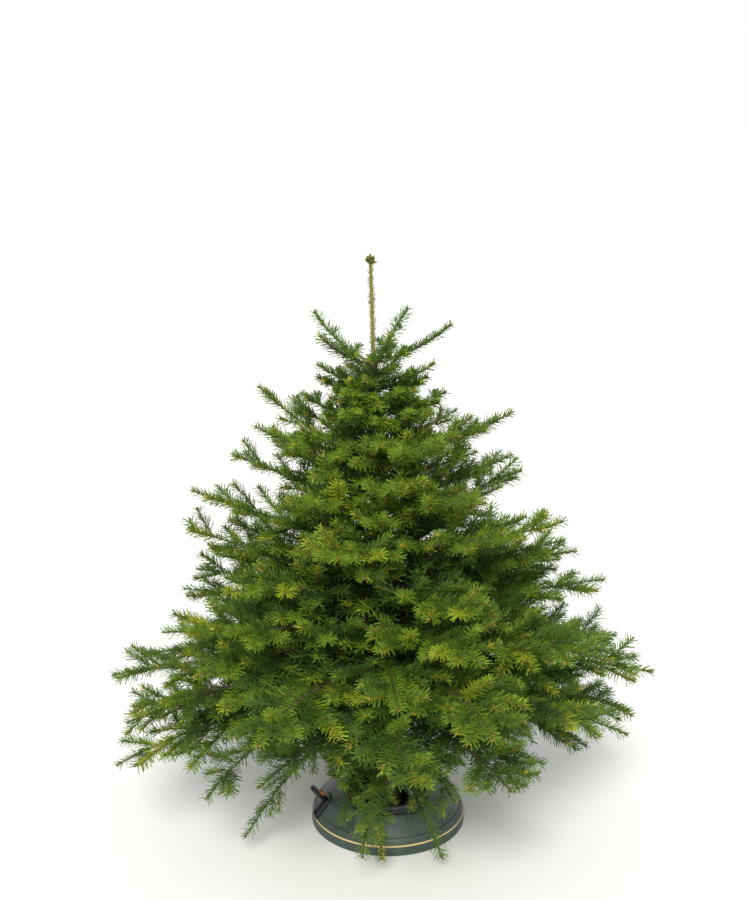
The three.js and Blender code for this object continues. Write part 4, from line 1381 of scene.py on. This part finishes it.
@dataclass
class Fir:
    """The whole tree: trunk, boughs, twigs, needles and buds."""

    trunk: Trunk = field(default_factory=Trunk)
    clear: KeepClear = field(default_factory=KeepClear)

    def __post_init__(self) -> None:
        """Draws the branches and makes the finishes."""
        self.branches = [Branch(whorl, row, i, self.trunk) for row, whorl in enumerate(WHORLS)
                         for i in range(whorl.count)]
        self.inner = [Branch(whorl, row, i, self.trunk) for row, whorl in enumerate(INNER, INNER_ROWS)
                      for i in range(whorl.count)]
        for branch in self.branches + self.inner:
            branch.end = self.clear.free_share(branch)
        needles = {t: NeedleFinish(f"needle_{t.name.lower()}", *look).build() for t, look in TINTS.items()}
        self.coat = NeedleCoat(needles, NeedleFinish("needle_underside", srgb(86, 116, 50), 0.5).build())
        self.sweep = TwigSweep({
            Wood.YOUNG: TwigFinish("twig_young", srgb(144, 132, 58), 0.5).build(),
            Wood.SECOND: TwigFinish("twig_second_year", srgb(104, 92, 46), 0.6).build(),
            Wood.OLD: TwigFinish("twig_old", srgb(82, 68, 50), 0.72).build(),
        })
        self.bud = TwigFinish("bud_scales", srgb(118, 106, 50), 0.45).build()
        self.bark = BarkFinish("fir_bark", srgb(66, 54, 42), 0.92, srgb(118, 102, 80),
                               srgb(150, 134, 108)).build()

    @staticmethod
    def stem_radius(whorl: Whorl, t: float) -> float:
        """The radius of a branch's stem at a share of its length."""
        if t <= whorl.bough:
            return whorl.stem * (1.12 - 0.78 * t)
        held = whorl.stem * (1.12 - 0.78 * whorl.bough) * (0.92 if whorl.bough else 0.74)
        share = (1 - t) / (1 - whorl.bough)
        return 0.0011 + (held - 0.0011) * max(0.0, share) ** 1.15

    def collar(self, spot: Vector) -> float:
        """The swelling of the trunk where branches leave it."""
        height = 0.0
        for branch in self.branches:
            if abs(spot.z - branch.whorl.z) > 0.05:
                continue
            turn, stem = math.radians(branch.azimuth), branch.whorl.stem
            out = Vector((math.cos(turn), math.sin(turn), 0.0))
            root = branch.foot + out * self.trunk.radius(branch.whorl.z)
            height += 0.4 * stem * math.exp(-((spot - root).length / (2.2 * stem)) ** 2)
        return min(height, 0.005)

    def build_trunk(self) -> bpy.types.Object:
        """The trunk with its bark, from the flat cut to under the leader's bud."""
        tube, trunk = BarkTube(self.bark), self.trunk
        end = trunk.height - 0.012
        count = round((end - trunk.foot) / trunk.step)
        heights = [trunk.foot + (end - trunk.foot) * i / count for i in range(count + 1)]
        tube.sweep([trunk.axis(z) for z in heights], [trunk.radius(z) for z in heights], trunk.sides,
                   self.collar)
        made = tube.build("trunk_bark")
        mesh = made.data
        mesh.materials.append(self.sweep.materials[Wood.YOUNG])
        middles = [sum(mesh.vertices[v].co.z for v in face.vertices) / len(face.vertices)
                   for face in mesh.polygons]
        mesh.polygons.foreach_set("material_index", [int(z > trunk.leader) for z in middles])
        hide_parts("trunk")
        return made

    def build_stems(self) -> list[bpy.types.Object]:
        """The boughs and the stems of the masses, with their bark."""
        made = []
        boughed = [branch for branch in self.branches if branch.whorl.bough]
        for name, branches, sides, step in (("boughs_bark", boughed, 16, 0.004),
                                            ("stems_bark", self.branches + self.inner, 7, 0.012)):
            tube = BarkTube(self.bark)
            for branch in branches:
                low = 0.5 * self.trunk.radius(branch.whorl.z) / branch.reach
                bough = branch.whorl.bough
                start, end = (low, bough) if branches is boughed else (bough or low, branch.end)
                count = max(6, round(branch.reach * (end - start) / step))
                shares = [start + (end - start) * i / count for i in range(count + 1)]
                radii = [self.stem_radius(branch.whorl, t) for t in shares]
                tube.sweep([branch.at(t) for t in shares], radii, sides)
            piece = tube.build(name)
            if branches is boughed:
                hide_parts(*[f"bough_{i + 1}" for i in range(len(boughed))])
            made.append(piece)
        return made

    def leader(self) -> list[Shoot]:
        """The top shoot and the young trunk under it, with short needles all round."""
        trunk, out = self.trunk, Vector((1.0, 0.0, 0.0))
        low, high, tip = ([trunk.axis(z / 1000) for z in range(*span)]
                          for span in ((720, 1100, 12), (1100, 1322, 12), (1312, 1330, 3)))
        held = [(trunk.radius(line[0].z), trunk.radius(line[-1].z)) for line in (low, high)]
        even = {"bare": 0.0, "full": 1.0, "buds": 0}
        return [
            Shoot(low, (0.0, 0.0), out, Tint.DEEP, Wood.SECOND, 0.85, gap=0.0004, broad=1.2,
                  seated=held[0], **even),
            Shoot(high, (0.0, 0.0), out, Tint.MID, Wood.YOUNG, 0.48, gap=0.0009, broad=0.9,
                  seated=held[1], open=0.92, **even),
            Shoot(tip, (0.0, 0.0), out, Tint.MID, Wood.YOUNG, 0.56, gap=0.0003, broad=0.9,
                  seated=(0.0035, 0.005), open=1.1, **even),
        ]

    @staticmethod
    def bud_spots(shoots: Iterable[Shoot], fine: Dice) -> list[tuple[Vector, Vector, float]]:
        """Where the buds sit: one at each shoot's end and smaller ones beside the stronger."""
        spots = []
        for shoot in shoots:
            if shoot.buds < 1 or (shoot.buds == 1 and (shoot.tint < Tint.FRESH or shoot.length() < 0.07)):
                continue
            tip = shoot.line[-1]
            way = (tip - shoot.line[-2]).normalized()
            spots.append((tip - way * 0.001, way, fine.between(0.0072, 0.0092)))
            if shoot.wood != Wood.YOUNG:
                side = way.cross(shoot.crest).normalized()
                for hand in (-1, 1):
                    spots.append((tip - way * 0.003, way + side * 0.7 * hand, fine.between(0.006, 0.0075)))
        return spots

    def leader_buds(self) -> list[tuple[Vector, Vector, float]]:
        """The cluster at the leader's tip and two small buds part of the way down it."""
        tip = self.trunk.axis(self.trunk.height - 0.0175)
        spots = [(tip + UP * 0.0025, Vector((-0.03, 0.0, 1.0)), 0.0150)]
        for k in range(11):
            turn = math.radians(137.5 * k)
            out = Vector((math.cos(turn), math.sin(turn), 0.0))
            spots.append((tip + out * (0.0036 - 0.0002 * k) + UP * (0.0006 * k - 0.003),
                          out + UP * (0.1 + 0.16 * k), 0.0116))
        for turn, height in ((0.0, 1.236), (math.pi, 1.228)):
            out = Vector((math.cos(turn), math.sin(turn), 0.0))
            spots.append((self.trunk.axis(height) + out * 0.002, out + UP * 0.8, 0.0085))
        return spots

    def rows(self) -> list[tuple[str, list[Branch]]]:
        """The branches of each row under the row's plain name."""
        short = {"crown_shoot": "crown", "neck_shoot": "neck", "low_spray": "low"}
        rows = [(short.get(w.name, w.name.removesuffix("_mass")), [b for b in self.branches if b.whorl is w])
                for w in WHORLS]
        return rows + [("inner", self.inner)]

    def build(self) -> None:
        """Grows the tree and makes its pieces."""
        made = [self.build_trunk(), *self.build_stems()]
        grower, fine, seed = Grower(self.clear), Dice(SEED + 3), 11
        spots = self.leader_buds()
        for row, branches in self.rows():
            batches: list[tuple[list[Shoot], list[str]]] = [([], [])]
            for branch in branches:
                grown = grower.grow(branch)
                if self.coat.count(batches[-1][0] + grown) > PIECE_LIMIT:
                    batches.append(([], []))
                batches[-1][0].extend(grown)
                batches[-1][1].append(branch.label)
            if row == "crown":
                batches[0][0].extend(self.leader())
            for i, (shoots, labels) in enumerate(batches):
                name = f"{row}_{i + 1}" if len(batches) > 1 else row
                needles = self.coat.build(f"needles_{name}", shoots, seed)
                twigs = self.sweep.build(f"twigs_{name}", [s for s in shoots if s.girth[0] > 0])
                for piece, slot in ((needles, "needles"), (twigs, "bark")):
                    if row != "inner":
                        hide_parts(*labels)
                    made.append(piece)
                spots += self.bud_spots(shoots, fine)
                seed += 17
        made.append(BudScatter(self.bud).build("buds", spots, BudScatter.bud_shape()))
        for piece in made:
            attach(piece, Body.STAND.value)
            LOG.info("%s is in place: %d faces", piece.name, len(piece.data.polygons))


# ---------------------------------------------------------------- the stand
def upright(turn: float) -> Matrix:
    """Stands an outline of (radius, height) points up in the plane of an azimuth."""
    return Matrix.Rotation(turn, 4, "Z") @ Matrix.Rotation(math.pi / 2, 4, "X")


def box(low: tuple[float, float], high: tuple[float, float]) -> list[tuple[float, float]]:
    """The corners of a rectangle between two of them."""
    return [low, (high[0], low[1]), high, (low[0], high[1])]


@dataclass
class Stand:
    """The round stand: its cover, gilt line, collar, lever guide and claws.

    ring is the gilt band's lowest and highest edge, ring_depth its groove's, and lip how far the band's
    ground lies inside the stand's widest edge.
    """

    radius: float = 0.180
    top: float = 0.138
    saddle_half: float = 0.095
    saddle_floor: float = 0.078
    saddle_round: float = 0.030
    ring: tuple[float, float] = (0.021, 0.026)
    ring_depth: float = 0.003
    lip: float = 0.0015
    basin_top: float = 0.070
    basin_inner: float = 0.092

    @staticmethod
    def dome(steps: int = 24) -> list[tuple[float, float]]:
        """The cover's outer curve, through the source's four points."""
        knots = [Vector(p) for p in ((0.166, 0.043), (0.147, 0.069), (0.126, 0.095), (0.113, 0.128))]
        found = []
        for step in range(steps + 1):
            at = (len(knots) - 1) * step / steps
            i = min(int(at), len(knots) - 2)
            t = at - i
            a, b = knots[i], knots[i + 1]
            before, after = knots[max(0, i - 1)], knots[min(len(knots) - 1, i + 2)]
            v0, v1 = (b - before) * 0.5, (after - a) * 0.5
            p = (a * 2 - b * 2 + v0 + v1) * t ** 3 + (b * 3 - a * 3 - v0 * 2 - v1) * t * t + v0 * t + a
            found.append((p.x, p.y))
        return found

    def skin(self, height: float) -> float:
        """The cover's outer radius at a height."""
        line = [(0.180, 0.0), (0.178, 0.026), (0.171, 0.039), *self.dome(), (0.108, self.top)]
        for (r0, z0), (r1, z1) in zip(line, line[1:]):
            if z0 <= height <= z1:
                return r0 + (r1 - r0) * (height - z0) / (z1 - z0)
        return line[-1][0]

    def cover(self) -> bpy.types.Object:
        """The moulded cover with its notch front and back and the lever's slot."""
        groove = self.radius - self.lip - self.ring_depth
        low, high = self.ring
        outer = [
            (0.1785, 0.0), (0.180, 0.0016), (0.1792, 0.016), (0.179, low), (groove, low), (groove, high),
            (0.178, high), (0.1762, 0.031), (0.1756, 0.0324), (0.1748, 0.0326), (0.1716, 0.0384),
            (0.1708, 0.0393), (0.1684, 0.0394), *self.dome(), (0.1105, 0.134), (0.1082, self.top),
            (0.104, self.top),
        ]
        inner = [(0.106, 0.130), (0.112, 0.112), (0.121, 0.092), (0.133, 0.077), (0.144, 0.063),
                 (0.166, 0.032), (0.174, 0.006), (0.176, 0.0)]
        made = Shaper.turned("stand_cover", outer + inner, 180)
        half, floor, bend = self.saddle_half, self.saddle_floor, self.saddle_round
        notch = [(-half, 0.3)]
        for side, first in ((-1, math.pi), (1, 1.5 * math.pi)):
            centre = side * (half - bend)
            notch += [(centre + bend * math.cos(first + a), floor + bend + bend * math.sin(first + a))
                      for a in np.linspace(0, math.pi / 2, 13)]
        notch.append((half, 0.3))
        through = Shaper.slab("notch", notch, 0.6, upright(0.0))
        slot = Shaper.slab("slot", box((0.130, 0.029), (0.200, 0.076)), 0.020, upright(LEVER_TURN))
        return Shaper.soften(Shaper.cut(made, through, slot), 0.0011, 2, 34)

    def gilt_line(self) -> bpy.types.Object:
        """The thin gilt band, rounded where it shows."""
        inner = self.radius - self.lip - self.ring_depth + 0.0003
        low, high = self.ring[0] + 0.0003, self.ring[1] - 0.0003
        face = self.radius - 0.0009
        profile = [(inner, low), (face - 0.0009, low), (face - 0.0002, low + 0.0007),
                   (face, (low + high) / 2), (face - 0.0002, high - 0.0007), (face - 0.0009, high),
                   (inner, high)]
        return Shaper.shade(Shaper.turned("gilt_line", profile, 180), 50)

    def collar(self) -> bpy.types.Object:
        """The deck round the basin's mouth with its raised lip."""
        low, inner = self.basin_top + 0.0003, self.basin_inner - 0.002
        profile = [
            (inner, low), (0.1300, low), (0.1300, low + 0.006), (0.1240, low + 0.0062),
            (0.1228, low + 0.0048),
            (0.1190, low + 0.0048), (0.1178, low + 0.0062), (0.1105, low + 0.0064), (0.1082, low + 0.0085),
            (0.1070, 0.0815), (0.1060, 0.0822), (0.1040, 0.0822), (0.1028, 0.0812), (0.1000, 0.0795),
            (inner, low + 0.007),
        ]
        return Shaper.soften(Shaper.turned("deck_collar", profile), 0.0005, 2, 40)

    def guide(self) -> bpy.types.Object:
        """The black guide round the lever's slot, lying on the cover."""
        heights = [0.028 + 0.050 * i / 14 for i in range(15)]
        inside = [(self.skin(z) + 0.0009, z) for z in heights]
        outside = [(self.skin(z) + 0.0040, z + 0.001) for z in reversed(heights)]
        made = Shaper.slab("slot_guide", inside + outside, 0.030, upright(LEVER_TURN))
        slot = Shaper.slab("slot", box((0.130, 0.033), (0.200, 0.073)), 0.018, upright(LEVER_TURN))
        return Shaper.soften(Shaper.cut(made, slot), 0.0008, 2, 36)

    def claw(self, number: int) -> bpy.types.Object:
        """One of the four claws, a pressed plate that reaches from the basin's wall to the trunk."""
        wall, azimuth = self.basin_inner - 0.0005, math.radians(45 + 90 * (number - 1))
        nose = 0.0318 - 0.0028 * math.cos(azimuth)
        outline = [
            (wall, 0.034), (wall, 0.062), (self.basin_inner - 0.004, 0.069), (0.0845, 0.086), (0.080, 0.096),
            (0.072, 0.102), (0.062, 0.104), (nose + 0.006, 0.1), (nose, 0.098), (nose - 0.0004, 0.0905),
            (nose, 0.083), (nose + 0.004, 0.0825), (0.056, 0.090), (0.066, 0.087), (0.074, 0.080),
            (0.080, 0.034),
        ]
        made = Shaper.slab(f"claw_plate_{number}", outline, 0.012, upright(azimuth))
        return Shaper.soften(made, 0.0009, 2, 25)


@dataclass
class FootLever:
    """The foot lever with its paddle, grip ribs and round catch."""

    pivot: tuple[float, float] = (0.120, 0.033)
    rise: float = math.radians(47)
    length: float = 0.098
    arm: float = 0.012
    paddle: float = 0.034
    paddle_start: float = 0.060
    thick: float = 0.008

    def place(self) -> Matrix:
        """From the lever's own level frame, along +X from its pivot, to its place at rest."""
        out = Matrix.Translation((self.pivot[0], 0.0, self.pivot[1]))
        return Matrix.Rotation(LEVER_TURN, 4, "Z") @ out @ Matrix.Rotation(-self.rise, 4, "Y")

    def outline(self) -> list[tuple[float, float]]:
        """The lever's outline, a narrow arm and a round-ended paddle."""
        arm, half, start = self.arm / 2, self.paddle / 2, self.paddle_start
        centre = self.length - half
        low = [(0.0, -arm), (start - 0.008, -arm), (start - 0.003, -arm - 0.003),
               (start + 0.001, -half + 0.0025), (start + 0.007, -half)]
        tip = [(centre + half * math.cos(a), half * math.sin(a))
               for a in np.linspace(-math.pi / 2, math.pi / 2, 25)]
        return low + tip + [(x, -y) for x, y in reversed(low)]

    @staticmethod
    def round_piece(name: str, profile: Sequence[tuple[float, float]], segments: int, place: Matrix,
                    limit: float) -> bpy.types.Object:
        """A small turned form in its place on the lever.

        Args:
            name: the object's name.
            profile: a closed loop of (radius, height) points.
            segments: steps round its axis.
            place: where it goes.
            limit: the angle in degrees from which an edge stays sharp.

        Returns:
            The new object.
        """
        made = Shaper.turned(name, profile, segments)
        made.data.transform(place)
        return Shaper.shade(Shaper.outward(made), limit)

    def lever(self) -> bpy.types.Object:
        """The lever's plate with its boss."""
        plate = Shaper.slab("lever_plate", self.outline(), self.thick, self.place())
        Shaper.soften(plate, 0.0018, 3, 30)
        profile = [(0.0, -0.008), (0.0084, -0.008), (0.009, -0.0074), (0.009, 0.0074), (0.0084, 0.008),
                   (0.0, 0.008)]
        boss = self.round_piece("lever_boss", profile, 40, self.place() @ upright(0.0), 40)
        return Shaper.join("lever", [plate, boss])

    def ribs(self, material: bpy.types.Material) -> bpy.types.Object:
        """The raised ribs across the paddle's end."""
        place, half, spots = self.place(), self.paddle / 2, []
        for i in range(4):
            x = self.length - 0.005 - 0.0042 * i
            wide = math.sqrt(max(0.0, (half - 0.002) ** 2 - max(0.0, x - self.length + half) ** 2))
            start = place @ Vector((x, -wide, self.thick / 2))
            spots.append((start, place.to_3x3() @ Vector((0.0, 1.0, 0.0)), 2 * wide))
        side = [(0.0, -0.028), (0.02, -0.034), (0.98, -0.034), (1.0, -0.028)]
        bar = Shaper.slab("rib_shape", side + [(x, -y) for x, y in reversed(side)], 0.06, Matrix.Identity(4))
        return BudScatter(material, "rib_rows").build("paddle_ribs", spots, bar)

    def catch(self) -> bpy.types.Object:
        """The round amber catch on the lever's arm, with its rim and dimple."""
        base = self.thick / 2 + 0.0003
        profile = [(0.0, base), (0.0092, base), (0.0095, base + 0.0006), (0.0090, base + 0.0040),
                   (0.0082, base + 0.0050), (0.0068, base + 0.0050), (0.0060, base + 0.0041),
                   (0.0, base + 0.0038)]
        place = self.place() @ Matrix.Translation((self.paddle_start + 0.008, 0.0, 0.0))
        return self.round_piece("amber_catch", profile, 48, place, 38)


# By slot: name, colour, roughness fresh and rubbed, rubbed colour, dust, then grain, depth and dusting.
FINISHES = {
    "stand_green": MouldedPlastic("stand_green_plastic", srgb(52, 68, 62), 0.38, 0.52, srgb(72, 86, 78),
                                  srgb(120, 122, 108), 900.0, 0.22, 0.35),
    "collar_grey": MouldedPlastic("collar_grey_plastic", srgb(62, 68, 68), 0.42, 0.58, srgb(84, 90, 88),
                                  srgb(130, 130, 120), 700.0, 0.3, 0.4),
    "basin_grey": MouldedPlastic("basin_grey_plastic", srgb(44, 52, 50), 0.45, 0.6, srgb(62, 70, 66),
                                 srgb(110, 110, 100), 600.0, 0.3, 0.5),
    "lever_black": MouldedPlastic("lever_black_plastic", srgb(30, 31, 32), 0.34, 0.5, srgb(52, 52, 54),
                                  srgb(110, 108, 102), 1100.0, 0.35, 0.25),
    "gilt_line": MouldedPlastic("gilt_line_paint", srgb(214, 190, 132), 0.24, 0.4, srgb(190, 164, 106),
                                srgb(200, 196, 180), 400.0, 0.15, 0.2),
    "catch_amber": MouldedPlastic("catch_amber_plastic", srgb(184, 118, 60), 0.25, 0.42, srgb(206, 148, 86),
                                  srgb(150, 130, 110), 800.0, 0.2, 0.2),
    "claw_metal": PressedMetal("claw_zinc", srgb(150, 150, 146), 0.3, 0.55, srgb(104, 100, 94)),
}


class Furnishing:
    """Builds the stand and the lever and dresses them."""

    def __init__(self) -> None:
        """Makes the finishes."""
        self.materials = {slot: finish.build() for slot, finish in FINISHES.items()}

    def dress(self, piece: bpy.types.Object, slot: str, body: Body, *nodes: str) -> None:
        """Gives a piece the material that a key picks, its body and the solids it replaces, and reports it.

        Args:
            piece: the object.
            slot: the key that picks its finish.
            body: what it rides on.
            nodes: the solids whose place it takes.
        """
        piece.data.materials.clear()
        piece.data.materials.append(self.materials[slot])
        if nodes:
            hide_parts(*nodes)
        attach(piece, body.value)
        LOG.info("%s is in place: %d faces", piece.name, len(piece.data.polygons))

    def build(self) -> None:
        """Builds every piece of the stand and the lever."""
        stand, lever = Stand(), FootLever()
        self.dress(stand.cover(), "stand_green", Body.STAND, "stand_housing")
        self.dress(stand.gilt_line(), "gilt_line", Body.STAND, "stand_gilt_line")
        self.dress(stand.collar(), "collar_grey", Body.STAND, "stand_collar")
        self.dress(stand.guide(), "lever_black", Body.STAND, "lever_guide")
        for number in range(1, 5):
            self.dress(stand.claw(number), "claw_metal", Body.STAND, f"claw_{number}")
        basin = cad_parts["stand_base"]
        basin.data.materials.clear()
        basin.data.materials.append(self.materials["basin_grey"])
        self.dress(lever.lever(), "lever_black", Body.LEVER, "foot_lever")
        self.dress(lever.ribs(self.materials["lever_black"]), "lever_black", Body.LEVER)
        self.dress(lever.catch(), "catch_amber", Body.LEVER, "lever_catch")


# ---------------------------------------------------------------- studio
@dataclass
class Studio:
    """The camera, the floor and the soft lights."""

    eye: tuple[float, float, float] = (-0.0353, -3.0, 1.751)
    pitch: float = 15.79
    lens: float = 56.56
    floor: float = 30.0

    def camera(self) -> None:
        """The camera, level across and pitched down."""
        data = bpy.data.cameras.new("view")
        data.lens, data.sensor_width = self.lens, 36.0
        camera = bpy.data.objects.new("view", data)
        camera.location = self.eye
        camera.rotation_euler = (math.radians(90 - self.pitch), 0.0, 0.0)
        bpy.context.scene.collection.objects.link(camera)
        bpy.context.scene.camera = camera

    @staticmethod
    def light(name: str, source: Vector, spread: float, strength: float, colour: Sequence[float]) -> None:
        """A wide soft light from far away, even over the whole floor.

        Args:
            name: the light's name.
            source: the direction that it comes from.
            spread: how wide it looks, in degrees.
            strength: its strength.
            colour: its colour.
        """
        data = bpy.data.lights.new(name, "SUN")
        data.angle, data.energy, data.color = math.radians(spread), strength, colour
        lamp = bpy.data.objects.new(name, data)
        lamp.location = source.normalized() * 4
        lamp.rotation_euler = (-source).to_track_quat("-Z", "Y").to_euler()
        bpy.context.scene.collection.objects.link(lamp)

    def build(self) -> None:
        """Sets up the whole studio."""
        self.camera()
        corners = box((-self.floor, -self.floor), (self.floor, self.floor))
        ground = Shaper.from_faces("studio_floor", [(x, y, 0.0) for x, y in corners], [(0, 1, 2, 3)])
        ground.data.materials.append(Finish("studio_floor", (0.93, 0.93, 0.92, 1.0), 0.9).build())
        world = bpy.data.worlds.new("studio")
        world.use_nodes = True
        bpy.context.scene.world = world
        air = Wiring(world.node_tree)
        seen = air.math("MULTIPLY_ADD", air.add("ShaderNodeLightPath").outputs["Is Camera Ray"], 0.35, 0.65)
        sky = air.add("ShaderNodeBackground", {"Color": (1.0, 1.0, 1.0, 1.0), "Strength": seen})
        air.add("ShaderNodeOutputWorld", {"Surface": sky})
        self.light("key_light", Vector((-0.2, -1.3, 1.25)), 24.0, 2.6, (1.0, 0.98, 0.93))
        self.light("fill_light", Vector((1.0, -1.5, 0.6)), 60.0, 0.5, (1.0, 1.0, 0.98))
        bpy.context.scene.view_settings.view_transform = "Standard"


def main() -> None:
    """Builds the studio, the stand and the tree, and logs the faces of each piece."""
    logging.basicConfig(level=logging.INFO, format="%(message)s")
    Studio().build()
    LOG.info("the studio is set up")
    Furnishing().build()
    Fir().build()


if __name__ == "__main__":
    main()
